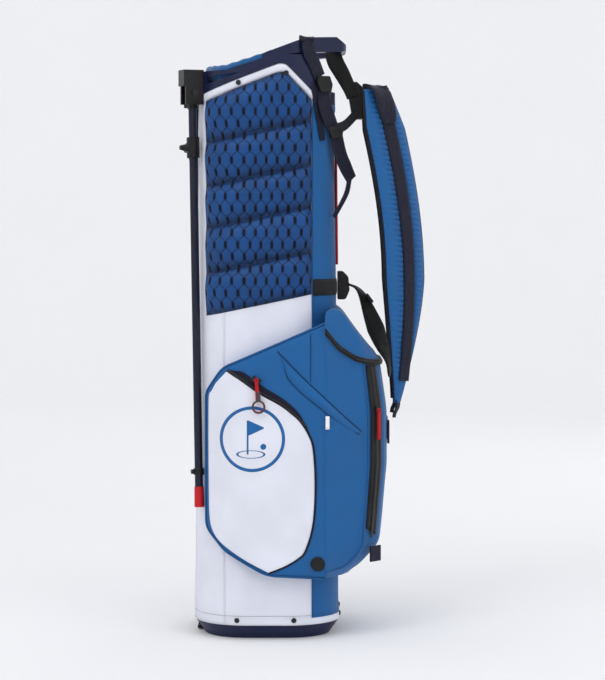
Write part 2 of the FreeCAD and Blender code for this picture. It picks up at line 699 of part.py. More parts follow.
def retaining_clip():
    """Small clip low on the leg that keeps it against the bag when folded."""
    at = HINGE.add(LEG_DIRECTION * (LEG_LENGTH - FOOT_HEIGHT - 22))
    half = LEG_DIRECTION * 4.5
    hole = cylinder(LEG_R, at.sub(half * 2), at.add(half * 2))
    ring = cylinder(LEG_R + 1.8, at.sub(half), at.add(half)).cut(hole)
    stud = cylinder(3.4, at_hinge(LEG_R + 0.5, 0, 0, at), at_hinge(LEG_R + 5.5, 0, 0, at))
    return fuse([ring, stud])


def rod_points():
    low_z = PLATE_BOTTOM + PLATE_THICK + ROD_GAP
    groove_z = GROOVE_TOP - 90
    return [at_hinge(0, -LEG_R - 1.5, 0, CLAMP_AT),
            at_hinge(0, -LUG_REACH - 5, 0, CLAMP_AT),
            V(ROD_INSET - body_x(groove_z), -ROD_HALF_SPACING - 4, groove_z),
            V(ROD_INSET - body_x(low_z), -ROD_HALF_SPACING, low_z)]


def actuator_rod():
    return wire_rod(rod_points(), [4.5, 120.0], ROD_R)


def legs():
    near = {"leg_head": leg_head(), "leg_tube": leg_tube(), "leg_foot": leg_foot(), "leg_clamp": leg_clamp(),
            "leg_clip": retaining_clip(), "actuator_rod": actuator_rod()}
    for name, shape in near.items():
        save(name + "_near", shape)
        save(name + "_far", mirrored(shape))


# ---- pockets ----------------------------------------------------------------------------------------
SIDE_OUTLINE = [(-POCKET_LEFT, POCKET_LOW + 70), (-POCKET_LEFT * 0.7, POCKET_LOW + 40), (0, POCKET_LOW + 4),
                (POCKET_SEAM_X, POCKET_LOW), (POCKET_SEAM_X, POCKET_TOP + 6), (-POCKET_LEFT * 0.72,
                                                                               POCKET_TOP - 58),
                (-POCKET_LEFT, POCKET_TOP - 95)]
SIDE_RADII = [30, 40, 60, 0, 0, 40, 30]


def pocket_room():
    """What the pockets must stay out of: the body with its trims."""
    return body(0, PEAK_Z, FIT)


def side_pocket():
    """A shallow pocket that wraps the body's side."""
    outline = side_plate(SIDE_OUTLINE, SIDE_RADII, -POCKET_FRONT - 20, -20)
    plan = [(-POCKET_LEFT - 1, -40), (-POCKET_LEFT - 1, -90), (-0.55 * POCKET_LEFT, -POCKET_FRONT),
            (POCKET_SEAM_X, -POCKET_FRONT), (POCKET_SEAM_X, -40)]
    block = plan_block(plan, [0, 8, 60, 0, 0], 0, PEAK_Z)
    return outline.common(block).cut(pocket_room())


FLAP_OUTLINE = [(-0.5 * POCKET_LEFT, POCKET_LOW + 36), (2, POCKET_LOW + 9), (46, POCKET_LOW + 31),
                (SEAM_X + 4, POCKET_LOW + 70), (SEAM_X + 4, POCKET_LOW + 205), (36, POCKET_TOP - 112),
                (-0.5 * POCKET_LEFT, POCKET_TOP - 64)]
FLAP_RADII = [14, 4, 22, 34, 46, 30, 6]


def flap():
    return side_plate(FLAP_OUTLINE, FLAP_RADII, -POCKET_FRONT - FLAP_THICK, -POCKET_FRONT)


def flap_zip():
    """Zip tape along the flap's upper and spine-side edges."""
    wide = side_plate([(-0.5 * POCKET_LEFT, POCKET_TOP - 80), (-0.34 * POCKET_LEFT, POCKET_TOP - 55),
                       (40, POCKET_TOP - 102), (SEAM_X + 6, POCKET_LOW + 222), (SEAM_X + 6, POCKET_LOW + 60),
                       (50, POCKET_LOW + 28), (8, POCKET_LOW + 5), (2, POCKET_LOW + 9), (20,
                                                                                         POCKET_LOW + 150)],
                      [4, 4, 30, 46, 34, 22, 2, 0, 0], -POCKET_FRONT - ZIP_THICK, -POCKET_FRONT)
    return wide.cut(side_plate(FLAP_OUTLINE, FLAP_RADII, -POCKET_FRONT - 9, -POCKET_FRONT + 1))


BALL_PLAN = [(POCKET_SEAM_X, -POCKET_FRONT), (BALL_CORNER_X, -BALL_CORNER_Y), (BALL_REACH - 7,
                                                                               -BALL_CORNER_Y + 26),
             (BALL_REACH, -BALL_CORNER_Y + 44)]


def ball_block(z0, z1):
    """The ball pocket seen from above, wrapping the spine from side to side."""
    return plan_block(BALL_PLAN + [(x, -y) for x, y in reversed(BALL_PLAN)], 0, z0, z1)


LID_BACK = POCKET_SEAM_X + FIT
LID_FRONT = BALL_CORNER_X + 12
LID_LINE = [(LID_BACK, POCKET_TOP), (108, POCKET_TOP - 26), (136, POCKET_TOP - 43), (LID_FRONT,
                                                                                     POCKET_TOP - 50)]
LID_GAP = 7.0


def lid_line(shift):
    """The line along the lid's zip, carried on past the pocket at both ends."""
    first, last = LID_LINE[0], LID_LINE[-1]
    line = [(0, first[1])] + LID_LINE + [(FAR, last[1] - 4)]
    return [(x, z + shift) for x, z in line]


def ball_pocket():
    profile = [(LID_BACK, POCKET_LOW), (BALL_CORNER_X - 22, POCKET_LOW), (BALL_REACH - 10, POCKET_LOW + 42),
               (BALL_REACH, POCKET_LOW + 160), (BALL_REACH, POCKET_TOP), (LID_BACK, POCKET_TOP + 40)]
    block = ball_block(0, PEAK_Z).common(side_plate(profile, [0, 36, 20, 60, 0, 0], -FAR, FAR))
    floor = [(0, 0), (FAR, 0)]
    return block.common(between(floor, lid_line(-LID_GAP))).cut(pocket_room())


def ball_lid():
    """Cover of the ball pocket: it rises from its zip to the spine."""
    top = POCKET_TOP + LID_RISE
    roof = [(0, top + 6), (BODY_HALF_X_LOW - 14, top), (BODY_HALF_X_LOW + 4, top - 8), (LID_FRONT,
                                                                                        POCKET_TOP - 42),
            (LID_FRONT + 6, POCKET_TOP - 47)]
    block = ball_block(0, PEAK_Z).common(between(lid_line(0)[:-1] + [(LID_FRONT + 6, POCKET_TOP - 50)], roof))
    return block.cut(pocket_room())


def lid_zip():
    """Band of zip tape between the lid and the pocket."""
    band = ball_block(0, PEAK_Z).common(between(lid_line(FIT - LID_GAP), lid_line(-FIT)))
    core = [(x - 7, y * 0.94) for x, y in BALL_PLAN]
    other = [(x, -y) for x, y in reversed(core)]
    inner = plan_block([(0, core[0][1])] + core + other + [(0, -core[0][1])], 0, 0, PEAK_Z)
    band = band.cut(inner).cut(pocket_room())
    return band.common(box(0, LID_FRONT + 14, -FAR, FAR, 0, PEAK_Z))


CORNER = (BALL_PLAN[1], BALL_PLAN[2])
CORNER_RUN = V(CORNER[1][0] - CORNER[0][0], CORNER[1][1] - CORNER[0][1], 0)
CORNER_OUT = V(-CORNER_RUN.y, CORNER_RUN.x, 0) * -1
CORNER_RUN.normalize()
CORNER_OUT.normalize()
SIDE_ZIP_LOW = POCKET_LOW + 46
SIDE_ZIP_TOP = POCKET_TOP - 66


def on_corner(along, out, z):
    """A point on the ball pocket's corner face: along it, out of it, and up."""
    start = V(CORNER[0][0], CORNER[0][1], z)
    return start.add(CORNER_RUN * along).add(CORNER_OUT * out)


def corner_box(a0, a1, out0, out1, z0, z1):
    corners = [on_corner(a, o, z0) for a, o in ((a0, out0), (a1, out0), (a1, out1), (a0, out1))]
    return Part.Face(Part.makePolygon(corners + corners[:1])).extrude(V(0, 0, z1 - z0))


CORNER_WIDTH = math.hypot(CORNER[1][0] - CORNER[0][0], CORNER[1][1] - CORNER[0][1])


def side_zip():
    return corner_box(1.5, CORNER_WIDTH - 1.5, 0, ZIP_THICK, SIDE_ZIP_LOW, SIDE_ZIP_TOP)


def webbing_loop():
    """Short loop of webbing at the ball pocket's lower corner."""
    z0 = POCKET_LOW + 17
    return corner_box(4, CORNER_WIDTH - 8, 0.2, 3.4, z0 + 2, SIDE_ZIP_LOW - 4)


def badge():
    """Round moulded badge low on the near side pocket."""
    x, y, z = SEAM_X + 8, -POCKET_FRONT, POCKET_LOW + 22
    return cylinder(BADGE_R, V(x, y, z), V(x, y - 2.0, z))


# ---- zip sliders and pulls --------------------------------------------------------------------------
ZIP_DIR = V(74, 0, -45)
ZIP_DIR.normalize()
SLIDER_AT = V(-0.16 * POCKET_LEFT, -POCKET_FRONT - ZIP_THICK - FIT, POCKET_TOP - 75)
PULL_PIVOT_OUT = 4.2


def slider_block(length, width, height):
    return Part.makeBox(length, height, width, V(-length / 2, -height, -width / 2))


def side_slider():
    """Slider on the flap's zip, turned to the zip's own line, with a bail for its pull."""
    block = slider_block(14, 8, 2.6)
    bail = cylinder(1.3, V(0, -2.0, 0), V(0, -7.2, 0))
    slider = fuse([block, bail])
    angle = math.degrees(math.atan2(-ZIP_DIR.z, ZIP_DIR.x))
    slider.rotate(V(0, 0, 0), V(0, 1, 0), angle)
    slider.translate(SLIDER_AT)
    return slider


def side_pull():
    """Cord loop, moulded tab and ring that hang from the slider."""
    y0, y1 = SLIDER_AT.y - 6.6, SLIDER_AT.y - 3.4
    mid = (y0 + y1) / 2
    x, z = SLIDER_AT.x, SLIDER_AT.z
    hole = cylinder(1.3 + PIN_FIT, V(x, y0 - 1, z), V(x, y1 + 1, z))
    eye = cylinder(3.4, V(x, y0, z), V(x, y1, z)).cut(hole)
    tab = side_plate([(x - 2, z - 2.6), (x + 2, z - 2.6), (x + 6.5, z - 30), (x - 1, z - 30)], 0, y0, y1)
    ring_at = V(x + 3.2, mid, z - 38)
    ring = Part.makeTorus(8.0, 1.2, ring_at, V(0, 1, 0))
    return fuse([eye, tab, ring])


CORNER_MID = CORNER_WIDTH / 2
CORNER_SLIDER_Z = POCKET_LOW + 240


def corner_slider():
    out = ZIP_THICK + FIT
    z0, z1 = CORNER_SLIDER_Z - 7, CORNER_SLIDER_Z + 7
    block = corner_box(CORNER_MID - 4, CORNER_MID + 4, out, out + 2.6, z0, z1)
    start = on_corner(CORNER_MID, out + 2.0, CORNER_SLIDER_Z)
    bail = cylinder(1.3, start, on_corner(CORNER_MID, out + 7.2, CORNER_SLIDER_Z))
    return fuse([block, bail])


def corner_pull():
    out = ZIP_THICK + FIT + 3.4
    z = CORNER_SLIDER_Z
    ends = [on_corner(CORNER_MID, out, z), on_corner(CORNER_MID, out + 3.0, z)]
    eye = cylinder(3.4, ends[0], ends[1])
    tab = corner_box(CORNER_MID - 2.2, CORNER_MID + 2.2, out, out + 3.0, z - 42, z - 2.2)
    pull = fuse([eye, tab])
    hole = cylinder(1.3 + PIN_FIT, on_corner(CORNER_MID, out - 1, z), on_corner(CORNER_MID, out + 4, z))
    return pull.cut(hole)


def pockets():
    pocket = side_pocket()
    save("side_pocket_near", pocket)
    save("side_pocket_far", mirrored(pocket))
    save("pocket_flaps", both(flap()))
    save("badge", badge())
    save("flap_zip_tapes", both(flap_zip()))
    save("ball_pocket", ball_pocket())
    save("ball_pocket_lid", ball_lid())
    save("lid_zip_tape", lid_zip())
    save("corner_zip_tape", side_zip())
    save("webbing_loop", webbing_loop())
    save("flap_slider", side_slider())
    save("flap_pull", side_pull())
    save("corner_slider", corner_slider())
    save("corner_pull", corner_pull())


# ---- straps and webbing -----------------------------------------------------------------------------
STRAP_TOP = PEAK_Z - 37                 # top of a shoulder pad
STRAP_BOTTOM = POCKET_TOP - 114         # its lower end, beside the ball pocket
TOP_X = 160.0
BOTTOM_X = BALL_REACH + 14.0
YOKE_X = 130.0
YOKE_HALF = 13.0
TURN = math.radians(PAD_TURN)
PAD_ACROSS = V(math.cos(TURN), math.sin(TURN), 0)
PAD_OUT = V(math.sin(TURN), -math.cos(TURN), 0)
FRACTIONS = (0.0, 0.12, 0.3, 0.5, 0.7, 0.86, 1.0)


def pad_centre(f):
    """Middle of the near shoulder pad, a fraction of the way down it."""
    x = TOP_X + (BOTTOM_X - TOP_X) * f + PAD_BOW * math.sin(math.pi * f)
    return V(x, -STRAP_Y, STRAP_TOP + (STRAP_BOTTOM - STRAP_TOP) * f)


def pad_half(f):
    if f < 0.12:
        return PAD_HALF * (0.67 + 0.33 * f / 0.12)
    if f > 0.6:
        return PAD_HALF * (1 - 0.86 * ((f - 0.6) / 0.4) ** 1.3)
    return PAD_HALF


def turned_band(fractions, half, low, high, offset=0.0):
    """A band that follows the pad: level sections, turned with the pad."""
    rings = []
    for f in fractions:
        middle = pad_centre(f).add(PAD_ACROSS * offset)
        side, inner, outer = PAD_ACROSS * half(f), PAD_OUT * low, PAD_OUT * high
        corners = [middle.sub(side).add(inner), middle.add(side).add(inner),
                   middle.add(side).add(outer), middle.sub(side).add(outer)]
        rings.append(Part.makePolygon(corners + corners[:1]))
    return Part.makeLoft(rings, True, True)


def shoulder_pad():
    return turned_band(FRACTIONS, pad_half, -PAD_THICK / 2, PAD_THICK / 2)


def pad_web_half(f):
    return WEB_WIDTH / 2 * (1 - 0.25 * f)


def pad_webbing():
    """Webbing sewn down the outside of the pad."""
    face = PAD_THICK / 2
    return turned_band([f for f in FRACTIONS if f < 0.9], pad_web_half, face, face + WEB_THICK, WEB_OFFSET)


HOOK_GAP = 4.5                          # between a strap's turning end and what it hooks on
TOP_HOOK = V(YOKE_X + YOKE_HALF + HOOK_GAP, -9.0, STRAP_TOP + 2)
LOW_HOOK = V(BALL_REACH + 10.0, -STRAP_Y, STRAP_BOTTOM - 22)


def strap_link():
    """Folded webbing from the pad's top in towards the yoke."""
    end = pad_centre(0)
    a, b = end.add(PAD_ACROSS * 14), end.sub(PAD_ACROSS * 14)
    tip = TOP_HOOK
    points = [(tip.x, tip.y - 3.5), (tip.x, tip.y + 3.5), (a.x, a.y), (b.x, b.y)]
    return plan_block(points, 0, STRAP_TOP + FIT, STRAP_TOP + 4)


def strap_tail():
    """Webbing from the pad's tip down to the lower hook, with its loose end."""
    x, z = BOTTOM_X, STRAP_BOTTOM
    hook = LOW_HOOK
    points = [(x - 4, z - FIT), (x + 5, z - FIT), (x + 9, z - 14),
              (hook.x + 3.5, hook.z), (hook.x - 3.5, hook.z)]
    return side_plate(points, 0, -STRAP_Y - 5, -STRAP_Y + 5)


def strap_webbing():
    return Part.makeCompound([pad_webbing(), strap_link(), strap_tail()])


def lower_anchor():
    """Webbing sewn to the ball pocket's outer face, which the straps' lower ends hook into."""
    z1 = LOW_HOOK.z - HOOK_GAP
    z0 = z1 - 34
    x0, y = BALL_REACH + FIT, STRAP_Y - 8
    return both(box(x0, x0 + 3.0, -y - 10, -y + 10, z0, z1))


def belt():
    z0, z1 = BELT_Z - WEB_WIDTH / 2, BELT_Z + WEB_WIDTH / 2
    return shell(z0, z1, FIT + WEB_THICK, FIT).common(box(SEAM_X, FAR, -FAR, FAR, z0, z1))


def mid_buckle():
    """Buckle on the belt at the spine."""
    x = body_x(BELT_Z, FIT + WEB_THICK) + FIT
    points = [(x, BELT_Z - 20), (x + 12, BELT_Z - 20), (x + 18, BELT_Z - 6), (x + 16, BELT_Z + 14),
              (x + 8, BELT_Z + 22), (x, BELT_Z + 22)]
    return side_plate(points, [2, 5, 6, 8, 6, 2], -17, 17)


def buckle_x():
    return body_x(BELT_Z, FIT + WEB_THICK) + FIT + 18


def cross_strap():
    """Wide lower strap from the belt's buckle down to the pads' lower ends."""
    x0 = buckle_x() + FIT
    points = [(x0, BELT_Z + 2), (x0 + 18, BELT_Z - 8), (BALL_REACH - 9, POCKET_TOP - 28),
              (BALL_REACH + 3, POCKET_TOP - 56), (BALL_REACH + 3, POCKET_TOP - 76)]
    return ribbon(points, 4.0, -18, 18)


def ladder_lock():
    """Adjuster on the cross strap."""
    x0 = buckle_x() + 23
    z0 = BELT_Z - 14
    return side_plate([(x0, z0), (x0 + 9, z0 - 12), (x0 + 13, z0 - 9), (x0 + 4, z0 + 3)], 1.5, -20, 20)


# The webbing beside the handle hangs in one upright plane, just clear of the bag's near spine corner.
SIDE_TURN = math.radians(38.7)
SIDE_RUN = V(math.cos(SIDE_TURN), math.sin(SIDE_TURN), 0)
SIDE_OUT = V(math.sin(SIDE_TURN), -math.cos(SIDE_TURN), 0)


def side_offset():
    """How far that plane is from the bag's middle line."""
    hx, hy, r = body_size(PEAK_Z - 20, COLLAR_PROUD)
    return (hx - r) * SIDE_OUT.x - (hy - r) * SIDE_OUT.y + r + FIT


def corner_plate(points, radii, out0, out1):
    """An outline of (x, z) points, laid in the webbing's plane."""
    start = SIDE_OUT * (side_offset() + out0)
    placed = [start.add(SIDE_RUN * ((x - start.x) / SIDE_RUN.x)).add(V(0, 0, z)) for x, z in points]
    return Part.Face(rounded(placed, radii)).extrude(SIDE_OUT * (out1 - out0))


def handle_webbing():
    """Webbing over the handle's near side bar, down to its buckle."""
    top, peak = HANDLE_TOP, PEAK_Z
    strip = corner_plate([(50, top + WEB_THICK), (73, top + WEB_THICK), (76, peak + 18), (89, peak - 18.7),
                          (73, peak - 18.7), (57, peak + 14)], 0, 0, WEB_THICK)
    cap = corner_plate([(50, top + FIT), (73, top + FIT), (73, top + WEB_THICK), (50, top + WEB_THICK)], 0,
                       -HANDLE_BAR - 4, WEB_THICK)
    return fuse([strip, cap])


def top_buckle():
    z = PEAK_Z - 19
    return corner_plate([(71, z), (88, z), (92, z - 12), (90, z - 23), (75, z - 23), (70, z - 10)], 2, 0, 7.0)


def yoke():
    """Hub that the handle link, both pads and the webbing meet at."""
    z1 = STRAP_TOP + 14
    points = [(YOKE_X - YOKE_HALF, z1 - 2), (YOKE_X + 2, z1), (YOKE_X + YOKE_HALF - 2, z1 - 8),
              (YOKE_X + YOKE_HALF, z1 - 55), (YOKE_X - 4, z1 - 55)]
    return side_plate(points, 2, -17, 17)


def web(stations, half, thick):
    """Webbing through (point, direction across it) stations."""
    rings = []
    for i, (point, across) in enumerate(stations):
        run = stations[min(i + 1, len(stations) - 1)][0].sub(stations[max(i - 1, 0)][0])
        normal = run.cross(across)
        normal.normalize()
        side, up = across * half, normal * (thick / 2)
        corners = [point.sub(side).sub(up), point.add(side).sub(up),
                   point.add(side).add(up), point.sub(side).add(up)]
        rings.append(Part.makePolygon(corners + corners[:1]))
    return Part.makeLoft(rings, True, True)


def link_webbing():
    """Loop from the buckle to the adjuster, its link to the yoke, its loose tail and the grab strap."""
    z = PEAK_Z
    loop = corner_plate([(76, z - 42.3), (90, z - 42.3), (88, z - 60), (97, z - 88), (86, z - 86), (75,
                                                                                                    z - 62)],
                        3, 0, WEB_THICK)
    tail = corner_plate([(93, z - 110), (106, z - 112), (127, z - 162), (116, z - 168), (97, z - 130)],
                        3, 0, WEB_THICK)
    grab = corner_plate([(117, z - 168.5), (125, z - 164), (124, z - 185), (101, z - 224), (95, z - 222)],
                        2, 0, WEB_THICK)
    start = SIDE_OUT * side_offset()
    start = start.add(SIDE_RUN * 49.5).add(V(0, 0, z - 96))
    end = V(YOKE_X, -17 - FIT, z - 72)
    link = web([(start, V(0, 0, 1)), (end, V(0, 0, 1))], 8.0, WEB_THICK)
    return Part.makeCompound([loop, tail, grab, link])


def top_adjuster():
    z = PEAK_Z
    points = [(87, z - 92), (101, z - 88.6), (109, z - 98), (107, z - 108), (92, z - 109)]
    return corner_plate(points, 2, -0.5, 4.5)


def handle_link():
    """Webbing from the handle's end to the yoke."""
    z0, z1 = STRAP_TOP + 8, HANDLE_TOP - HANDLE_DEEP
    x1 = HANDLE_REACH - 6
    points = [(x1 - 17, z1 - 2), (x1 + 4, z1 - 2), (YOKE_X, z0 + 6.3), (YOKE_X - 14, z0 + 4.3)]
    return side_plate(points, 0, -5, 5)


def straps():
    for name, shape in (("shoulder_pad", shoulder_pad()), ("strap_webbing", strap_webbing())):
        save(name + "_near", shape)
        save(name + "_far", mirrored(shape))
    save("lower_anchors", lower_anchor())
    save("spine_belt", belt())
    save("mid_buckle", mid_buckle())
    save("cross_strap", cross_strap())
    save("ladder_locks", Part.makeCompound([ladder_lock(), top_adjuster()]))
    save("yoke", yoke())
    save("handle_link", handle_link())
    save("handle_webbing", handle_webbing())
    save("top_buckle", top_buckle())
    save("link_webbing", link_webbing())


def main():
    os.makedirs(PARTS, exist_ok=True)
    panels()
    top_trim()
    quilted_pads()
    spine_trim()
    stay_rods()
    base_group()
    save("fabric_rivets", Part.makeCompound(base_rivet_solids() + top_rivet_solids()))
    save("collar", collar().cut(screw_holes()))
    save("rim_padding", rim_padding())
    save("divider_padding", divider_padding())
    save("divider_sheets", divider_sheets())
    save("leg_bracket", leg_bracket().cut(screw_holes()))
    save("bracket_screws", bracket_screws())
    hinge_pins()
    legs()
    pockets()
    straps()


main()
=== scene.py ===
"""Golf stand bag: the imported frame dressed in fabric, webbing, zips and moulded plastic."""

import json
import math

import bmesh
import bpy
import numpy as np
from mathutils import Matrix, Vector, noise

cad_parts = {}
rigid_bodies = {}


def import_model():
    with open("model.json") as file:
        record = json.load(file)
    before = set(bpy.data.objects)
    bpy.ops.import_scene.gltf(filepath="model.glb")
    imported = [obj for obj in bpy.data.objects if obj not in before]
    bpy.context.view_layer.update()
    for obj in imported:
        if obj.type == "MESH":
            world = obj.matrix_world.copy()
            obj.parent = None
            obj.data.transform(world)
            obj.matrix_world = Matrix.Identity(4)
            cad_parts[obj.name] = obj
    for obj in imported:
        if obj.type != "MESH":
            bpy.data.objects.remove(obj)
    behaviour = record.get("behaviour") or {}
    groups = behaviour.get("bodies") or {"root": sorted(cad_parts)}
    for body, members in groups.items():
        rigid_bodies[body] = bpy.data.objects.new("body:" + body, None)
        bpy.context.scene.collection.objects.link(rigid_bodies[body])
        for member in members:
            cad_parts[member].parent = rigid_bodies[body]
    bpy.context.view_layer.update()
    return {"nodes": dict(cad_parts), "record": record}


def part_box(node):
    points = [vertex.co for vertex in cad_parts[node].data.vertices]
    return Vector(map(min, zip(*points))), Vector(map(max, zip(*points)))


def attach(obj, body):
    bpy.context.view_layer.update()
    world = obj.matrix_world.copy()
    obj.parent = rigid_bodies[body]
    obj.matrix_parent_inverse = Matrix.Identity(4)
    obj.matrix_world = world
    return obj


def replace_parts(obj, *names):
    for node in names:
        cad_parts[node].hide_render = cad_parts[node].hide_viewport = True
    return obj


bl_info = {
    "name": "Golf Stand Bag",
    "version": (1, 0, 0),
    "blender": (4, 5, 0),
    "location": "3D View > Sidebar > Golf Bag",
    "description": "Builds the soft and moulded pieces of a golf stand bag round its frame",
    "category": "Object",
}

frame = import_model()
MM = 0.001
BAG = "bag"
SIDES = (("near", 1.0), ("far", -1.0))


def box_mm(node):
    """Lowest and highest corner of a frame node, in mm."""
    low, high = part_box(node)
    return np.array(low) / MM, np.array(high) / MM


# ---- what a user would change -------------------------------------------------------------------
def length(name, description, default):
    return bpy.props.FloatProperty(
        name=name, description=description, default=default * MM, unit="LENGTH", min=0)


def colour(name, description, default):
    return bpy.props.FloatVectorProperty(
        name=name, description=description, default=default, size=3, subtype="COLOR", min=0, max=1)


class BagSizes(bpy.types.PropertyGroup):
    peak: length("Peak", "Height of the fabric's highest point", box_mm("side_panel_near")[1][2] + 2)
    band: length("Base Band", "Top of the base's visible band", box_mm("side_panel_near")[0][2])
    low_x: length("Low Half Width", "Half the body's width at its base", box_mm("spine_panel")[1][0])
    top_x: length("Top Half Width", "Half the body's width at its peak", 98)
    low_y: length("Low Half Depth", "Half the body's depth at its base", -box_mm("side_panel_near")[0][1])
    top_y: length("Top Half Depth", "Half the body's depth at its peak", 104)
    low_r: length("Low Corner", "Corner radius of the body at its base", 78)
    top_r: length("Top Corner", "Corner radius of the body at its peak", 74)
    puff: length("Quilt Puff", "How far the quilted channels stand out", 12.0)
    pocket_front: length("Pocket Front", "Front of a side pocket from the middle plane", 132)
    piping: length("Piping", "Radius of the sewn piping", 1.5)
    web: length("Webbing", "Width of the webbing", 24)


class BagColours(bpy.types.PropertyGroup):
    white: colour("White", "Main fabric", (0.80, 0.815, 0.90))
    blue: colour("Blue", "Second fabric", (0.010, 0.112, 0.325))
    quilt: colour("Quilt", "Quilted side pads", (0.0, 0.051, 0.20))
    navy: colour("Navy", "Webbing and zip tapes", (0.003, 0.0035, 0.018))
    plastic: colour("Moulded Navy", "Collar, handle and base", (0.006, 0.010, 0.042))
    black: colour("Black", "Black plastic and webbing", (0.0035, 0.0035, 0.004))
    red: colour("Red", "Feet, pulls and piping", (0.48, 0.004, 0.012))


def sizes():
    return bpy.context.scene.bag_sizes


def colours():
    return bpy.context.scene.bag_colours


# ---- shader sums ----------------------------------------------------------------------------------
class Wire:
    """A node socket that Python operators can do sums with."""

    def __init__(self, graph, socket):
        self.graph = graph
        self.socket = socket

    def sum(self, operation, *others):
        return self.graph.add("ShaderNodeMath", {"operation": operation}, dict(enumerate((self,) + others)))

    def __add__(self, other):
        return self.sum("ADD", other)

    def __sub__(self, other):
        return self.sum("SUBTRACT", other)

    def __mul__(self, other):
        return self.sum("MULTIPLY", other)

    def __truediv__(self, other):
        return self.sum("DIVIDE", other)

    def __rsub__(self, other):
        return self.graph.add("ShaderNodeMath", {"operation": "SUBTRACT"}, {0: other, 1: self})

    __radd__ = __add__
    __rmul__ = __mul__

    def fract(self):
        return self.sum("FRACT")

    def floor(self):
        return self.sum("FLOOR")

    def sine(self):
        return self.sum("SINE")

    def size(self):
        return self.sum("ABSOLUTE")

    def least(self, other):
        return self.sum("MINIMUM", other)

    def most(self, other):
        return self.sum("MAXIMUM", other)

    def step(self, low, high, start=0.0, end=1.0):
        """A smooth step from start to end as the value goes from low to high."""
        return self.graph.add(
            "ShaderNodeMapRange", {"interpolation_type": "SMOOTHSTEP"},
            {"Value": self, "From Min": low, "From Max": high, "To Min": start, "To Max": end}, "Result")


class Graph:
    """One material's node tree."""

    def __init__(self, name, roughness=0.7, **fixed):
        self.material = bpy.data.materials.new(name)
        self.material.use_nodes = True
        self.tree = self.material.node_tree
        self.shader = self.tree.nodes["Principled BSDF"]
        self.shader.inputs["Roughness"].default_value = roughness
        for socket, value in fixed.items():
            self.shader.inputs[socket.replace("_", " ")].default_value = value

    def add(self, kind, settings=None, inputs=None, output=0):
        node = self.tree.nodes.new(kind)
        for key, value in (settings or {}).items():
            setattr(node, key, value)
        for key, value in (inputs or {}).items():
            self.join(value, node.inputs[key])
        return Wire(self, node.outputs[output])

    def join(self, value, socket):
        if isinstance(value, Wire):
            self.tree.links.new(value.socket, socket)
        else:
            socket.default_value = value

    def feed(self, socket, value):
        self.join(value, self.shader.inputs[socket])

    def mix(self, factor, a, b):
        """Colour a where factor is 0 and b where it is 1."""
        node = self.tree.nodes.new("ShaderNodeMix")
        node.data_type = "RGBA"
        for index, value in ((0, factor), (6, a), (7, b)):
            if not isinstance(value, (Wire, float, int)):
                value = (*value, 1.0)
            self.join(value, node.inputs[index])
        return Wire(self, node.outputs[2])

    def uv(self):
        """The piece's own map, in mm, as two wires."""
        coords = self.add("ShaderNodeTexCoord", output="UV")
        split = self.tree.nodes.new("ShaderNodeSeparateXYZ")
        self.join(coords, split.inputs[0])
        return Wire(self, split.outputs[0]) * 1000.0, Wire(self, split.outputs[1]) * 1000.0

    def noise(self, scale, detail=2.0, roughness=0.5):
        coords = self.add("ShaderNodeTexCoord", output="Object")
        return self.add("ShaderNodeTexNoise", {"noise_dimensions": "3D"},
                        {"Vector": coords, "Scale": scale, "Detail": detail, "Roughness": roughness}, 0)

    def bump(self, height, distance, strength=1.0, under=None):
        inputs = {"Height": height, "Distance": distance * MM, "Strength": strength}
        if under is not None:
            inputs["Normal"] = under
        return self.add("ShaderNodeBump", {}, inputs, "Normal")


def shade(rgb, amount):
    return tuple(min(1.0, c * amount) for c in rgb)


TURN = 2 * math.pi


def woven(name, rgb, thread=0.9, roughness=0.62, depth=0.12, soft=0.15):
    """Coated woven cloth: a fine plain weave, soft mottling and faint rubbed patches."""
    g = Graph(name, roughness, Sheen_Weight=soft, Sheen_Roughness=0.4, Specular_IOR_Level=0.25)
    u, v = g.uv()
    warp = (u * (TURN / thread)).sine()
    weft = (v * (TURN / thread)).sine()
    weave = warp * weft
    cloud = g.noise(14.0, 3.0).step(0.3, 0.7)
    g.feed("Base Color", g.mix(cloud * 0.7 + weave * 0.12 + 0.12, shade(rgb, 0.93), shade(rgb, 1.05)))
    g.feed("Roughness", roughness - 0.08 + cloud * 0.14)
    crease = g.bump(g.noise(55.0, 3.0, 0.55), 0.9, 0.35)
    g.feed("Normal", g.bump(weave, depth, 0.6, crease))
    return g.material


def ribbed_webbing(name, rgb):
    """Nylon webbing: ribs across its length. The map's u runs across, v along."""
    g = Graph(name, 0.6, Sheen_Weight=0.08, Sheen_Roughness=0.4, Specular_IOR_Level=0.3)
    u, v = g.uv()
    ribs = (v * (TURN / 1.5) + (u * (TURN / 3.0)).sine() * 0.9).sine()
    fleck = g.noise(260.0, 2.0).step(0.35, 0.65)
    g.feed("Base Color", g.mix(ribs * 0.25 + fleck * 0.5, shade(rgb, 0.75), shade(rgb, 1.7)))
    g.feed("Roughness", 0.52 + fleck * 0.16)
    g.feed("Normal", g.bump(ribs, 0.18, 0.8))
    return g.material


def moulded(name, rgb, roughness=0.45, grain=900.0, depth=0.06):
    """Injection-moulded plastic: fine spark grain, a slight sheen and handling marks."""
    g = Graph(name, roughness, Specular_IOR_Level=0.32)
    marks = g.noise(30.0, 4.0, 0.6).step(0.4, 0.75)
    fine = g.noise(grain, 2.0)
    g.feed("Base Color", g.mix(marks * 0.6 + fine * 0.3, rgb, shade(rgb, 1.25)))
    g.feed("Roughness", roughness - 0.06 + marks * 0.16)
    g.feed("Normal", g.bump(fine, depth, 0.5))
    return g.material


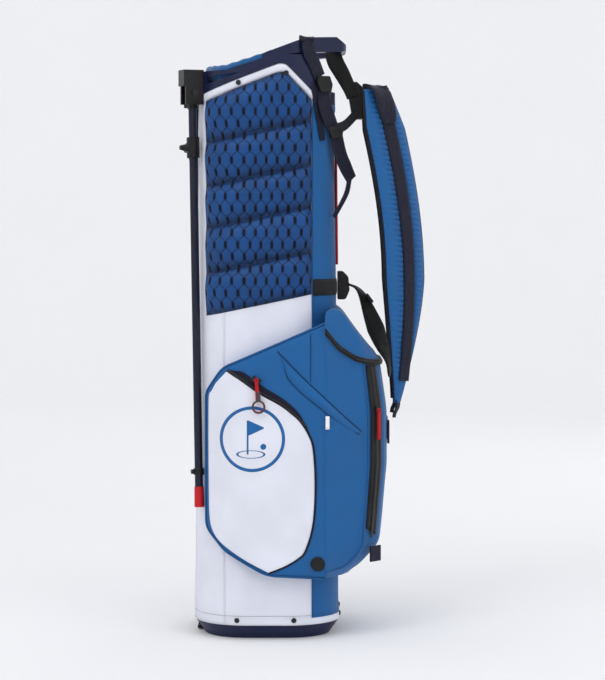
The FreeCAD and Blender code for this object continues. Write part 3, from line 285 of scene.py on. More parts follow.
def bare_metal(name, rgb, roughness=0.35, metallic=1.0):
    """Coated or plain metal with fine drawn lines."""
    g = Graph(name, roughness, Metallic=metallic)
    scratches = g.noise(420.0, 3.0, 0.7)
    g.feed("Base Color", g.mix(scratches, shade(rgb, 0.85), shade(rgb, 1.2)))
    g.feed("Roughness", roughness - 0.05 + scratches * 0.15)
    g.feed("Normal", g.bump(scratches, 0.03, 0.4))
    return g.material


QUILT_PITCH = 15.6
QUILT_ROW = 17.4


def quilted(name, rgb):
    """Embossed scale pattern: dark slits in staggered rows, joined by curved lines; painted shade at the
    seams.
    """
    g = Graph(name, 0.5, Sheen_Weight=0.05, Sheen_Roughness=0.35, Specular_IOR_Level=0.3)
    u, v = g.uv()
    column = u / QUILT_PITCH
    level = v / QUILT_ROW
    row = level.floor()
    up = level - row
    stagger = (row * 0.5).fract()
    swing = up.step(0.2, 0.8) * 0.5
    right = ((column - stagger - swing + 0.5).fract() - 0.5).size()
    left = ((column - stagger + swing + 0.5).fract() - 0.5).size()
    near_line = right.least(left)
    line = near_line.step(0.03, 0.075, 1.0, 0.0)
    here = ((column - stagger + 0.5).fract() - 0.5).size()
    there = ((column - stagger).fract() - 0.5).size()
    slit_low = here.step(0.10, 0.15, 1.0, 0.0) * up.step(0.23, 0.31, 1.0, 0.0)
    slit_high = there.step(0.10, 0.15, 1.0, 0.0) * up.step(0.69, 0.77)
    slit = slit_low.most(slit_high)
    weave = (u * (TURN / 1.1)).sine() * (v * (TURN / 1.1)).sine()
    cloud = g.noise(25.0, 3.0).step(0.3, 0.7)
    cloth = g.mix(cloud * 0.6 + weave * 0.1 + 0.1, shade(rgb, 0.85), shade(rgb, 1.25))
    lined = g.mix(line * 0.9, cloth, shade(rgb, 0.16))
    # Painted shade: the crease attribute darkens the cloth where the puffs turn down into the quilting seams.
    crease = g.add("ShaderNodeAttribute", {"attribute_name": "crease"}, output="Fac")
    folded = g.mix(crease * 0.75, lined, shade(rgb, 0.2))
    g.feed("Base Color", g.mix(slit, folded, shade(rgb, 0.06)))
    g.feed("Roughness", 0.46 + slit * 0.3)
    dome = near_line.step(0.0, 0.25)
    height = dome - line * 0.5 - slit * 1.2 + weave * 0.04
    g.feed("Normal", g.bump(height, 0.8, 0.7))
    return g.material


def zip_teeth(name, rgb):
    """Coil zip under a folded tape: fine cross ribs. The map's v runs along."""
    g = Graph(name, 0.45)
    ribs = (g.uv()[1] * (TURN / 1.6)).sine()
    g.feed("Base Color", g.mix(ribs * 0.4 + 0.4, shade(rgb, 0.7), shade(rgb, 1.6)))
    g.feed("Normal", g.bump(ribs, 0.3, 0.9))
    return g.material


def thread(name, rgb):
    g = Graph(name, 0.7, Sheen_Weight=0.4)
    strands = g.noise(900.0, 1.0)
    g.feed("Base Color", g.mix(strands, shade(rgb, 0.8), shade(rgb, 1.15)))
    g.feed("Normal", g.bump(strands, 0.05))
    return g.material


def studio_floor(name):
    """Pale backdrop paper that glows a little further from the middle, so it stays evenly light."""
    g = Graph(name, 0.85, Specular_IOR_Level=0.2, Emission_Strength=1.0)
    grain = g.noise(3.0, 2.0).step(0.2, 0.8)
    g.feed("Base Color", g.mix(grain, (0.86, 0.86, 0.865), (0.87, 0.87, 0.875)))
    coords = g.add("ShaderNodeTexCoord", output="Object")
    reach = g.add("ShaderNodeVectorMath", {"operation": "LENGTH"}, {0: coords}, "Value")
    g.feed("Emission Color", g.mix(reach.step(0.5, 4.0), (0.01, 0.01, 0.01), (0.12, 0.12, 0.12)))
    return g.material


MATERIALS = {}


def paint(key):
    """The finish of that name, made once."""
    if key not in MATERIALS:
        c = colours()
        white, blue, quilt, navy = tuple(c.white), tuple(c.blue), tuple(c.quilt), tuple(c.navy)
        plastic, black, red = tuple(c.plastic), tuple(c.black), tuple(c.red)
        makers = {
            "white_fabric": lambda: woven("white_fabric", white),
            "blue_fabric": lambda: woven("blue_fabric", blue),
            "pad_fabric": lambda: woven("pad_fabric", blue, 1.0, 0.6, 0.15),
            "divider_fabric": lambda: woven("divider_fabric", blue, 2.2, 0.75, 0.5, 0.6),
            "navy_fabric": lambda: woven("navy_fabric", navy, 0.9, 0.6),
            "black_mesh": lambda: woven("black_mesh", black, 2.4, 0.8, 0.6),
            "quilt_fabric": lambda: quilted("quilt_fabric", quilt),
            "quilt_slit": lambda: woven("quilt_slit", shade(quilt, 0.06), 0.9, 0.8, 0.1, 0.0),
            # Dark blue for thin tubes along seams and folds: painted shadow in the seam grooves and under the
            # slip pocket's lip.
            "painted_shadow_line": lambda: woven("painted_shadow_line", shade(blue, 0.3), 0.9, 0.7),
            "navy_webbing": lambda: ribbed_webbing("navy_webbing", navy),
            "black_webbing": lambda: ribbed_webbing("black_webbing", black),
            "zip_tape": lambda: woven("zip_tape", shade(navy, 1.1), 1.2, 0.65),
            "black_tape": lambda: woven("black_tape", shade(black, 1.3), 1.2, 0.55),
            "zip_coil": lambda: zip_teeth("zip_coil", black),
            "collar_plastic": lambda: moulded("collar_plastic", plastic, 0.38),
            "base_plastic": lambda: moulded("base_plastic", shade(plastic, 1.15), 0.5, 500.0, 0.1),
            "black_plastic": lambda: moulded("black_plastic", black, 0.42),
            "red_trim": lambda: woven("red_trim", red, 1.0, 0.6),
            "blue_trim": lambda: woven("blue_trim", shade(blue, 0.8), 1.0, 0.55),
            "red_rubber": lambda: moulded("red_rubber", red, 0.55, 500.0, 0.1),
            "black_rubber": lambda: moulded("black_rubber", shade(black, 1.4), 0.8, 400.0, 0.12),
            "leg_aluminium": lambda: bare_metal("leg_aluminium", (0.012, 0.013, 0.03), 0.4, 0.5),
            "spring_steel": lambda: bare_metal("spring_steel", (0.02, 0.02, 0.022), 0.4, 0.6),
            "dark_metal": lambda: bare_metal("dark_metal", (0.03, 0.03, 0.035), 0.35, 0.8),
            "pull_metal": lambda: bare_metal("pull_metal", (0.07, 0.07, 0.075), 0.35, 0.8),
            "stay_fibre": lambda: moulded("stay_fibre", (0.05, 0.05, 0.05), 0.4),
            "white_thread": lambda: thread("white_thread", (0.75, 0.76, 0.82)),
            "blue_thread": lambda: thread("blue_thread", shade(blue, 0.6)),
            "mark_blue": lambda: woven("mark_blue", shade(blue, 1.15), 0.9, 0.55),
            "navy_thread": lambda: thread("navy_thread", shade(navy, 1.6)),
            "reflective": lambda: moulded("reflective", (0.85, 0.86, 0.88), 0.3, 900.0, 0.02),
        }
        MATERIALS[key] = makers[key]()
    return MATERIALS[key]


# ---- the body's outline, in mm ------------------------------------------------------------------
def body_size(z):
    """Half width, half depth and corner radius of the body at a height."""
    s = sizes()
    t = (np.asarray(z, float) - s.band / MM) / ((s.peak - s.band) / MM)
    pairs = ((s.low_x, s.top_x), (s.low_y, s.top_y), (s.low_r, s.top_r))
    return [(low + (top - low) * t) / MM for low, top in pairs]


def around(s, z, grow=0.0):
    """Points on the body with their outward directions.

    s runs round it in mm, from the middle of its near side towards the spine.
    """
    s, z, grow = np.broadcast_arrays(np.asarray(s, float), np.asarray(z, float), np.asarray(grow, float))
    hx, hy, r = body_size(z)
    a, b, q = hx - r, hy - r, r * math.pi / 2
    d = np.abs(s)
    first = np.clip((d - a) / r, 0, math.pi / 2)
    second = np.clip((d - a - q - 2 * b) / r, 0, math.pi / 2)
    angle = first + second
    nx, ny = np.sin(angle), -np.cos(angle)
    x = np.minimum(d, a) + r * nx
    y = -b + np.clip(d - a - q, 0, 2 * b) + r * ny
    x = x - np.clip(d - a - 2 * q - 2 * b, 0, None)
    sign = np.where(s < 0, -1.0, 1.0)
    points = np.stack([(x + nx * grow) * sign, y + ny * grow, z], -1)
    return points, np.stack([nx * sign, ny, np.zeros_like(nx)], -1)


def side_s(x, z):
    """How far round from the middle of the near side a place x is."""
    hx, _, r = body_size(z)
    a = hx - r
    over = np.clip((np.abs(x) - a) / r, 0, 1)
    return np.sign(x) * (np.minimum(np.abs(x), a) + r * np.arcsin(over))


def half_round(z):
    hx, hy, r = body_size(z)
    return 2 * (hx - r) + 2 * (hy - r) + r * math.pi


def peak():
    return sizes().peak / MM


def rounded_line(points, soften=6.0):
    """A function through (x, z) points whose corners are softened."""
    xs, zs = np.array(points, float).T

    def line(x):
        x = np.asarray(x, float)
        spread = np.linspace(-soften, soften, 9)
        return sum(np.interp(x + step, xs, zs) for step in spread) / len(spread)

    return line


def top_line(x):
    p, w = peak(), sizes().top_x / MM
    return rounded_line([(-300, p - 47), (-w - 3, p - 47), (0.18 * w, p - 2), (0.28 * w, p - 2),
                         (0.84 * w, p - 58), (300, p - 66)])(x)


def wobble(points, size, amount, seed=0.0):
    """Smooth random heights at points, for the way cloth is never flat."""
    flat = points.reshape(-1, 3)
    shift = Vector((seed, seed * 1.7, -seed))
    values = [noise.noise(Vector(p) / size + shift) for p in flat]
    return np.array(values).reshape(points.shape[:-1]) * amount


# ---- mesh helpers, all taking mm ---------------------------------------------------------------
def new_piece(name, verts, faces, key, body=BAG, uvs=None, smooth=True):
    """A finished piece: its mesh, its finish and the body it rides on."""
    mesh = bpy.data.meshes.new(name)
    mesh.from_pydata((np.asarray(verts, float) * MM).tolist(), [], [tuple(map(int, f)) for f in faces])
    if uvs is not None:
        layer = mesh.uv_layers.new(name="map")
        loops = np.empty(len(mesh.loops), dtype=np.int32)
        mesh.loops.foreach_get("vertex_index", loops)
        layer.data.foreach_set("uv", (np.asarray(uvs, float)[loops] * MM).ravel())
    mesh.materials.append(paint(key))
    mesh.polygons.foreach_set("use_smooth", [smooth] * len(mesh.polygons))
    mesh.update()
    piece = bpy.data.objects.new(name, mesh)
    bpy.context.scene.collection.objects.link(piece)
    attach(piece, body)
    return piece


def spans(points, axis):
    """Distance run along one axis of a grid of points."""
    steps = np.linalg.norm(np.diff(points, axis=axis), axis=-1)
    pad = [(0, 0), (0, 0)]
    pad[axis] = (1, 0)
    return np.cumsum(np.pad(steps, pad), axis=axis)


def quads(rows, columns, wrap=False):
    i, j = np.meshgrid(np.arange(rows - 1), np.arange(columns if wrap else columns - 1), indexing="ij")
    a = i * columns + j
    b = i * columns + (j + 1) % columns
    return np.stack([a, b, b + columns, a + columns], -1).reshape(-1, 4)


def outward(verts, faces, away):
    """The faces, turned over if they look towards the place given."""
    v = verts[faces[:, :3]]
    normals = np.cross(v[:, 1] - v[:, 0], v[:, 2] - v[:, 0])
    centres = v.mean(axis=1) - away
    return faces if (normals * centres).sum() > 0 else faces[:, ::-1]


def cloth(name, grid, key, slot, body=BAG, thick=1.6, away=None, uvs=None, wrap=False, side=-1):
    """A sheet through a grid of points, facing away from a place, given a thickness inwards."""
    rows, columns = grid.shape[:2]
    verts = grid.reshape(-1, 3)
    faces = quads(rows, columns, wrap)
    centre = np.array([0, 0, verts[:, 2].mean()]) if away is None else np.array(away, float)
    faces = outward(verts, faces, centre)
    if uvs is None:
        uvs = np.stack([spans(grid, 1), spans(grid, 0)], -1).reshape(-1, 2)
    piece = new_piece(name, verts, faces, key, body, uvs)
    if thick:
        solid = piece.modifiers.new("thickness", "SOLIDIFY")
        solid.thickness = thick * MM
        solid.offset = side
    return piece


def volume_of(verts, faces):
    """Six times the volume inside a closed skin, below zero if its faces look inwards."""
    return sum(np.dot(verts[f[0]], np.cross(verts[f[i]], verts[f[i + 1]]))
               for f in faces for i in range(1, len(f) - 1))


def loft(name, rings, key, body=BAG, closed=False):
    """A skin over rings of points, capped unless the rings join up. Its map's v runs along the rings."""
    rings = np.asarray(rings, float)
    count, sides = rings.shape[:2]
    verts = rings.reshape(-1, 3)
    faces = [tuple(f) for f in quads(count, sides, True)]
    if closed:
        last = (count - 1) * sides
        faces += [(last + j, last + (j + 1) % sides, (j + 1) % sides, j) for j in range(sides)]
    else:
        faces += [tuple(range(sides))[::-1], tuple((count - 1) * sides + j for j in range(sides))]
    round_run = spans(np.concatenate([rings, rings[:, :1]], 1), 1)[:, :-1]
    along = np.cumsum(np.pad(np.linalg.norm(np.diff(rings.mean(1), axis=0), axis=1), (1, 0)))
    uvs = np.stack([round_run, np.repeat(along[:, None], sides, 1)], -1).reshape(-1, 2)
    piece = new_piece(name, verts, faces, key, body, uvs)
    if volume_of(verts, faces) < 0:
        piece.data.flip_normals()
    return piece


def smooth_path(points, count):
    """count points on a smooth curve through the ones given, evenly spread."""
    p = np.asarray(points, float)
    if len(p) < 3:
        t = np.linspace(0, 1, count)[:, None]
        return p[0] * (1 - t) + p[1] * t
    ends = np.vstack([2 * p[0] - p[1], p, 2 * p[-1] - p[-2]])
    dense = []
    for i in range(1, len(ends) - 2):
        a, b, c, d = ends[i - 1:i + 3]
        t = np.linspace(0, 1, 24, endpoint=False)[:, None]
        bend = (2 * a - 5 * b + 4 * c - d) * t**2
        dense.append(0.5 * (2 * b + (c - a) * t + bend + (3 * b - a - 3 * c + d) * t**3))
    dense = np.vstack(dense + [p[-1:]])
    run = np.cumsum(np.pad(np.linalg.norm(np.diff(dense, axis=0), axis=1), (1, 0)))
    at = np.linspace(0, run[-1], count)
    return np.stack([np.interp(at, run, dense[:, k]) for k in range(dense.shape[1])], -1)


def unit(v):
    v = np.asarray(v, float)
    return v / np.maximum(np.linalg.norm(v, axis=-1, keepdims=True), 1e-9)


def tangents(path, closed=False):
    if closed:
        return unit(np.roll(path, -1, 0) - np.roll(path, 1, 0))
    return unit(np.gradient(path, axis=0))


def tube(name, path, radius, key, body=BAG, closed=False, sides=8):
    """Round piping along a path."""
    path = np.asarray(path, float)
    along = tangents(path, closed)
    across = unit(np.cross(along, [0.3, 1.0, 0.2]))
    up = np.cross(along, across)
    turn = np.linspace(0, TURN, sides, endpoint=False)[:, None]
    rings = path[:, None] + radius * (across[:, None] * np.cos(turn) + up[:, None] * np.sin(turn))
    return loft(name, rings, key, body, closed)


STRAP_SECTION = [(-1, -0.5), (-0.96, -1), (-0.5, -1), (0, -1), (0.5, -1), (0.96, -1), (1, -0.5),
                 (1, 0.5), (0.96, 1), (0.5, 1), (0, 1), (-0.5, 1), (-0.96, 1), (-1, 0.5)]


def strap(name, centres, across, width, thick, key, body=BAG, count=60, bow=0.0):
    """Webbing along a smooth path. across gives the width's direction at each point given."""
    path = smooth_path(centres, count)
    side = unit(smooth_path(across, count))
    along = tangents(path)
    side = unit(side - along * (side * along).sum(-1, keepdims=True))
    up = np.cross(along, side)
    width = np.atleast_1d(np.asarray(width, float))
    widths = np.interp(np.linspace(0, 1, count), np.linspace(0, 1, len(width)), width)
    rings = [[path[i] + side[i] * (c * widths[i] / 2) + up[i] * (e * thick / 2 + bow * (1 - c * c))
              for c, e in STRAP_SECTION] for i in range(count)]
    return loft(name, rings, key, body)


def plate(name, outline, place, depth, key, body=BAG, bevel=1.0):
    """A moulded slab: an outline placed in space, given a depth and rounded edges."""
    start, end = depth
    front = [place(x, z, end) for x, z in outline]
    back = [place(x, z, start) for x, z in outline]
    n = len(outline)
    verts = np.array(front + back, float)
    faces = [tuple(range(n)), tuple(range(2 * n - 1, n - 1, -1))]
    faces += [(i, n + i, n + (i + 1) % n, (i + 1) % n) for i in range(n)]
    if volume_of(verts, faces) < 0:
        faces = [f[::-1] for f in faces]
    piece = new_piece(name, verts, faces, key, body, smooth=False)
    edge = piece.modifiers.new("edges", "BEVEL")
    edge.width = bevel * MM
    edge.segments = 3
    edge.limit_method = "ANGLE"
    edge.harden_normals = False
    return piece


def rounded_outline(points, radius, steps=6):
    """A closed (x, z) outline whose corners are arcs."""
    p = np.asarray(points, float)
    radii = np.broadcast_to(np.asarray(radius, float), (len(p),))
    out = []
    for i, here in enumerate(p):
        before, after = unit(p[i - 1] - here), unit(p[(i + 1) % len(p)] - here)
        half = math.acos(np.clip(before @ after, -1, 1)) / 2
        if radii[i] <= 0 or half > 1.55:
            out.append(here)
            continue
        cut = radii[i] / math.tan(half)
        centre = here + unit(before + after) * radii[i] / math.sin(half)
        a, b = here + before * cut - centre, here + after * cut - centre
        for t in np.linspace(0, 1, steps):
            out.append(centre + unit(a * (1 - t) + b * t) * radii[i])
    return np.array(out)


def distance(points, line, closed=True):
    """Distance in the plane from (x, z) points to a line of points."""
    shape = points.shape[:-1]
    p = points.reshape(-1, 2)
    starts, ends = (line, np.roll(line, -1, 0)) if closed else (line[:-1], line[1:])
    best = np.full(len(p), 1e9)
    for a, b in zip(starts, ends):
        run = b - a
        t = np.clip(((p - a) @ run) / max(run @ run, 1e-9), 0, 1)
        best = np.minimum(best, np.linalg.norm(p - a - t[:, None] * run, axis=1))
    return best.reshape(shape)


def row_limits(outline, zs):
    """Where each level line enters and leaves a closed outline."""
    left, right = [], []
    a, b = outline, np.roll(outline, -1, 0)
    for z in zs:
        hit = (a[:, 1] - z) * (b[:, 1] - z) <= 0
        p, q = a[hit], b[hit]
        gap = q[:, 1] - p[:, 1]
        t = np.where(np.abs(gap) > 1e-9, (z - p[:, 1]) / np.where(np.abs(gap) > 1e-9, gap, 1), 0.5)
        x = p[:, 0] + (q[:, 0] - p[:, 0]) * t
        left.append(x.min())
        right.append(x.max())
    return np.array(left), np.array(right)


def face_grid(outline, columns, rows):
    """A grid of (x, z) points that fills an outline, its edge points on the outline."""
    low, high = outline[:, 1].min(), outline[:, 1].max()
    even = np.linspace(0, 1, rows)
    eased = 0.5 - 0.5 * np.cos(even * math.pi)
    t = even * 0.55 + eased * 0.45
    zs = low + (high - low) * np.clip(t, 0.0004, 0.9996)
    left, right = row_limits(outline, zs)
    f = np.linspace(0, 1, columns)
    xs = left[:, None] * (1 - f) + right[:, None] * f
    return np.stack([xs, np.repeat(zs[:, None], columns, 1)], -1)


def rim_loop(grid):
    """The grid's edge, once round."""
    return np.concatenate([grid[0, :-1], grid[:-1, -1], grid[-1, :0:-1], grid[:0:-1, 0]])


def swell(name, outline, front, back, key, side=1.0, body=BAG, roll=5.0, columns=110, rows=150, rings=5,
          sewn=None):
    """A face that fills an outline, rolls over at its edge, and goes back in a wall to what it is sewn to."""
    flat = face_grid(outline, columns, rows)
    inside = distance(flat, outline) if sewn is None else distance(flat, sewn, closed=False)
    drop = roll * (1 - np.sqrt(np.clip(1 - (1 - np.clip(inside / roll, 0, 1))**2, 0, 1)))
    y = front(flat[..., 0], flat[..., 1], inside) + drop
    face = np.stack([flat[..., 0], y, flat[..., 1]], -1)
    edge = rim_loop(face)
    sewn_y = back(edge[:, 0], edge[:, 2])
    wall = [np.stack([edge[:, 0], edge[:, 1] * (1 - t) + sewn_y * t, edge[:, 2]], -1)
            for t in np.linspace(0, 1, rings)[1:]]
    verts = np.concatenate([face.reshape(-1, 3)] + wall)
    faces = quads(rows, columns).tolist()
    index = np.arange(rows * columns).reshape(rows, columns)
    previous = rim_loop(index[..., None])[:, 0]
    start = rows * columns
    for _ in wall:
        ring = start + np.arange(len(edge))
        faces += np.stack([np.roll(previous, -1), previous, ring, np.roll(ring, -1)], -1).tolist()
        previous = ring
        start += len(edge)
    faces = np.array(faces)
    verts = verts * [1, side, 1]
    middle = faces[len(quads(rows, columns)) // 2]
    v = verts[middle[:3]]
    normal = np.cross(v[1] - v[0], v[2] - v[0])
    if normal[1] * side > 0:
        faces = faces[:, ::-1]
    return new_piece(name, verts, faces, key, body, uvs=np.stack([verts[:, 0], verts[:, 2]], -1))


# ---- repeats, by geometry nodes -----------------------------------------------------------------
class RepeatTree:
    """A node tree that lays stitches along a line, evenly, turned with the line and its surface."""

    def __init__(self, name):
        self.tree = bpy.data.node_groups.new(name, "GeometryNodeTree")
        face = self.tree.interface
        face.new_socket("Geometry", in_out="OUTPUT", socket_type="NodeSocketGeometry")
        self.ids = {}
        for label, kind in (("Geometry", "NodeSocketGeometry"), ("Spacing", "NodeSocketFloat"),
                            ("Size", "NodeSocketVector"), ("Finish", "NodeSocketMaterial")):
            self.ids[label] = face.new_socket(label, in_out="INPUT", socket_type=kind).identifier
        given = self.node("NodeGroupInput")
        curve = self.node("GeometryNodeMeshToCurve", {}, {"Mesh": given.outputs["Geometry"]})
        even = self.node("GeometryNodeResampleCurve", {"mode": "LENGTH"},
                         {"Curve": curve.outputs[0], "Length": given.outputs["Spacing"]})
        tangent = self.node("GeometryNodeInputTangent")
        away = self.node("GeometryNodeInputNamedAttribute", {"data_type": "FLOAT_VECTOR"}, {"Name": "away"})
        facing = self.node("FunctionNodeAlignRotationToVector", {"axis": "Z"}, {"Vector": away.outputs[0]})
        turned = self.node("FunctionNodeAlignRotationToVector", {"axis": "X", "pivot_axis": "Z"},
                           {"Rotation": facing.outputs[0], "Vector": tangent.outputs[0]})
        unit_shape = self.node("GeometryNodeMeshUVSphere")
        for label, value in (("Segments", 8), ("Rings", 5), ("Radius", 0.5)):
            unit_shape.inputs[label].default_value = value
        placed = self.node("GeometryNodeInstanceOnPoints", {},
                           {"Points": even.outputs[0], "Instance": unit_shape.outputs["Mesh"],
                            "Rotation": turned.outputs[0], "Scale": given.outputs["Size"]})
        real = self.node("GeometryNodeRealizeInstances", {}, {0: placed.outputs[0]})
        coloured = self.node("GeometryNodeSetMaterial", {},
                             {"Geometry": real.outputs[0], "Material": given.outputs["Finish"]})
        out = self.node("NodeGroupOutput")
        self.tree.links.new(coloured.outputs[0], out.inputs[0])

    def node(self, kind, settings=None, links=None):
        made = self.tree.nodes.new(kind)
        for key, value in (settings or {}).items():
            setattr(made, key, value)
        for key, value in (links or {}).items():
            if isinstance(value, str):
                made.inputs[key].default_value = value
            else:
                self.tree.links.new(value, made.inputs[key])
        return made


TREES = []


def repeat(name, lines, aways, spacing, size, key, body=BAG):
    """Stitches along lines of points. aways holds the surface's outward direction at each point."""
    if not TREES:
        TREES.append(RepeatTree("stitches_along_line"))
    made = TREES[0]
    mesh = bpy.data.meshes.new(name)
    verts, edges, ups = [], [], []
    for line, away in zip(lines, aways):
        first = len(verts)
        verts += (np.asarray(line) * MM).tolist()
        ups += np.asarray(away, float).tolist()
        edges += [(first + i, first + i + 1) for i in range(len(line) - 1)]
    mesh.from_pydata(verts, edges, [])
    mesh.attributes.new("away", "FLOAT_VECTOR", "POINT").data.foreach_set("vector", np.array(ups).ravel())
    source = bpy.data.objects.new(name + "_line", mesh)
    bpy.context.scene.collection.objects.link(source)
    layer = source.modifiers.new("repeat", "NODES")
    layer.node_group = made.tree
    layer[made.ids["Spacing"]] = spacing * MM
    layer[made.ids["Size"]] = [v * MM for v in size]
    layer[made.ids["Finish"]] = paint(key)
    graph = bpy.context.evaluated_depsgraph_get()
    result = bpy.data.meshes.new_from_object(source.evaluated_get(graph))
    bpy.data.objects.remove(source)
    result.name = name
    piece = bpy.data.objects.new(name, result)
    bpy.context.scene.collection.objects.link(piece)
    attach(piece, body)
    return piece


STITCH = (3.0, 0.7, 0.6)
STITCH_STEP = 4.2


# ---- carried-over hard parts -------------------------------------------------------------------
SLOTS = {part["node"]: part["material_slot"] for part in frame["record"]["subparts"]}
MERGE = 2e-6
SHARP = math.radians(32)


def refine(node, body=BAG, bevel=0.7, key=None):
    """A moulded or machined part: the frame node's own shape with rounded edges and clean shading."""
    mesh = frame["nodes"][node].data.copy()
    mesh.name = node + "_made"
    bm = bmesh.new()
    bm.from_mesh(mesh)
    bmesh.ops.remove_doubles(bm, verts=bm.verts, dist=MERGE)
    bmesh.ops.dissolve_limit(bm, angle_limit=math.radians(1.0), verts=bm.verts, edges=bm.edges)
    for edge in bm.edges:
        edge.smooth = len(edge.link_faces) == 2 and edge.calc_face_angle(0) < SHARP
    for face in bm.faces:
        face.smooth = True
    bm.to_mesh(mesh)
    bm.free()
    mesh.materials.clear()
    mesh.materials.append(paint(key or SLOTS[node]))
    piece = bpy.data.objects.new(node + "_made", mesh)
    bpy.context.scene.collection.objects.link(piece)
    if bevel:
        edges = piece.modifiers.new("edges", "BEVEL")
        edges.width = bevel * MM
        edges.segments = 2
        edges.limit_method = "ANGLE"
        edges.angle_limit = SHARP
        edges.use_clamp_overlap = True
        level = piece.modifiers.new("shading", "WEIGHTED_NORMAL")
        level.keep_sharp = True
    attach(piece, body)
    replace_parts(piece, node)
    return piece


# ---- body fabric -------------------------------------------------------------------------------
SEAM_X = 66.0
LEG_SEAM_X = -60.8
CHANNEL_HALF = 30.0
CHANNEL_DEPTH = 9.0
CHANNEL_DROP = 147.0


def smooth(value, low, high):
    t = np.clip((np.asarray(value, float) - low) / (high - low), 0, 1)
    return t * t * (3 - 2 * t)


def body_panel(name, key, span, side=1.0, columns=60, rows=190, seed=0.0, channel=False):
    """A panel of the bag's tube. span gives its two ends round the body at a height."""
    base = sizes().band / MM + 0.4
    t = np.linspace(0, 1, rows)[:, None]
    f = np.linspace(0, 1, columns)[None, :]
    top_s0, top_s1 = span(peak() - 40)
    top_x = around(top_s0 + (top_s1 - top_s0) * f, peak() - 40)[0][..., 0]
    z = base + (top_line(top_x) - base) * t
    s0, s1 = span(z)
    s = s0 + (s1 - s0) * f
    grow = np.zeros_like(z)
    if channel:
        middle = (s0 + s1) / 2
        reach = (s1 - s0) / 2
        c = 2 * f - 1
        turns = [0, 0.30, 0.34, 0.38, 0.42, 1]
        places = [0, 28.0, 29.6, 30.4, 32.0, 0]
        inner = np.interp(np.abs(c), turns[:-1], places[:-1])
        outer = 32.0 + (np.abs(c) - 0.42) / 0.58 * (reach - 32.0)
        d = np.where(np.abs(c) > 0.42, outer, inner) * np.sign(c)
        s = middle + d
        open_z = 1 - smooth(z, peak() - CHANNEL_DROP - 6, peak() - CHANNEL_DROP)
        grow = -CHANNEL_DEPTH * (1 - smooth(np.abs(d), 29.5, 30.5)) * open_z
    points, out = around(s, z, grow)
    points = points + out * wobble(points * [1, 1, 0.5], 60.0, 0.9, seed)[..., None]
    points = points * [1, side, 1]
    flat = np.stack([s + 0 * z, z], -1).reshape(-1, 2)
    return cloth(name, points, key, key, uvs=flat, thick=1.8, away=(0, 0, 400))


def leg_span(z):
    s = side_s(LEG_SEAM_X, z)
    return s, -half_round(z) - s


def spine_span(z):
    s = side_s(SEAM_X, z)
    return s, half_round(z) - s


def side_span(z):
    return side_s(LEG_SEAM_X, z), side_s(SEAM_X, z)


def loop_band(name, key, slot, lows, highs, grows, line=None, columns=300, thick=1.0):
    """A band sewn right round the body. lows, highs run down its height, grows are its steps outwards."""
    turn = np.linspace(-1, 1, columns, endpoint=False)
    x = around(turn * half_round(peak() - 30), peak() - 30)[0][..., 0]
    base = (line or top_line)(x)
    rows = []
    for t, grow in zip(np.linspace(0, 1, len(grows)), grows):
        z = base + lows + (highs - lows) * t
        rows.append(around(turn * half_round(z), z, grow)[0])
    return cloth(name, np.array(rows), key, slot, thick=thick, wrap=True, away=(0, 0, 600))


def seam_line(x, z0, z1, side, grow=0.5, count=120):
    z = np.linspace(z0, z1, count)
    points, out = around(side_s(x, z), z, grow)
    return points * [1, side, 1], out * [1, side, 1]


def make_body():
    for label, side in SIDES:
        piece = body_panel("side_cloth_" + label, "white_fabric", side_span, side, 50, 160, side)
        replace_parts(piece, "side_panel_" + label)
    leg_side = body_panel("leg_side_cloth", "white_fabric", leg_span, columns=110, rows=160, seed=4.0,
                          channel=True)
    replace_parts(leg_side, "leg_side_panel")
    spine = body_panel("spine_cloth", "blue_fabric", spine_span, columns=80, rows=160, seed=7.0)
    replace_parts(spine, "spine_panel")
    edge = loop_band("edge_band", "white_fabric", "white_fabric", -12.0, 0.6,
                     (0.3, 1.3, 1.6, 1.6, 1.6, 1.3, 0.2))
    edge.data.materials.append(paint("blue_fabric"))
    for face in edge.data.polygons:
        face.material_index = int(face.center.x > SEAM_X * MM)
    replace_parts(edge, "top_trim")
    low, high = sizes().band / MM, peak()
    lines, aways = [], []
    for _, side in SIDES:
        for x, z1 in ((SEAM_X - 2.5, high - 75), (LEG_SEAM_X - 2.0, high - 60)):
            line, away = seam_line(x, low + 4, z1, side)
            lines.append(line)
            aways.append(away)
    repeat("body_stitches", lines, aways, STITCH_STEP, STITCH, "white_thread")
    turn = np.linspace(-0.995, 0.995, 400)
    lines, aways = [], []
    line, away = around(turn * half_round(low + 14.0), low + 14.0, 0.5)
    keep = (np.abs(line[:, 1]) > CHANNEL_HALF + 2) | (line[:, 0] > 0)
    for part in np.split(np.arange(len(line)), np.where(np.diff(keep.astype(int)) != 0)[0] + 1):
        if keep[part[0]] and len(part) > 2:
            lines.append(line[part])
            aways.append(away[part])
    repeat("hem_stitches", lines, aways, STITCH_STEP, STITCH, "navy_thread")
    for _, side in SIDES:
        path = [around(side_s(SEAM_X, z), z, 0.6)[0] * [1, side, 1]
                for z in np.linspace(low + 10.5, high - 62, 90)]
        tube("side_seam_" + ("near" if side > 0 else "far"), path, 0.9, "blue_trim", sides=6)
    refine("stay_rods")
    hem = []
    turn = np.linspace(0, 1, 300)
    for lift, grow in ((0.4, 0.3), (0.8, 1.1), (4.0, 1.2), (9.0, 1.2), (9.9, 0.9), (10.2, 0.1)):
        s0 = side_s(-55.0, low + lift)
        hem.append(around(s0 + (half_round(low + lift) - 2 * s0) * turn, low + lift, grow)[0])
    cloth("hem_band", np.array(hem), "white_fabric", "white_fabric", thick=0.8, away=(0, 0, low + 5))
    rivets = refine("fabric_rivets", bevel=0.9)
    for vert in rivets.data.vertices:
        out = Vector((vert.co.x, vert.co.y, 0)).normalized() * MM
        if vert.co.z > 0.7:
            vert.co += Vector((0, 1.2 * math.copysign(MM, vert.co.y), -7.0 * MM))
        else:
            vert.co += out * 1.0


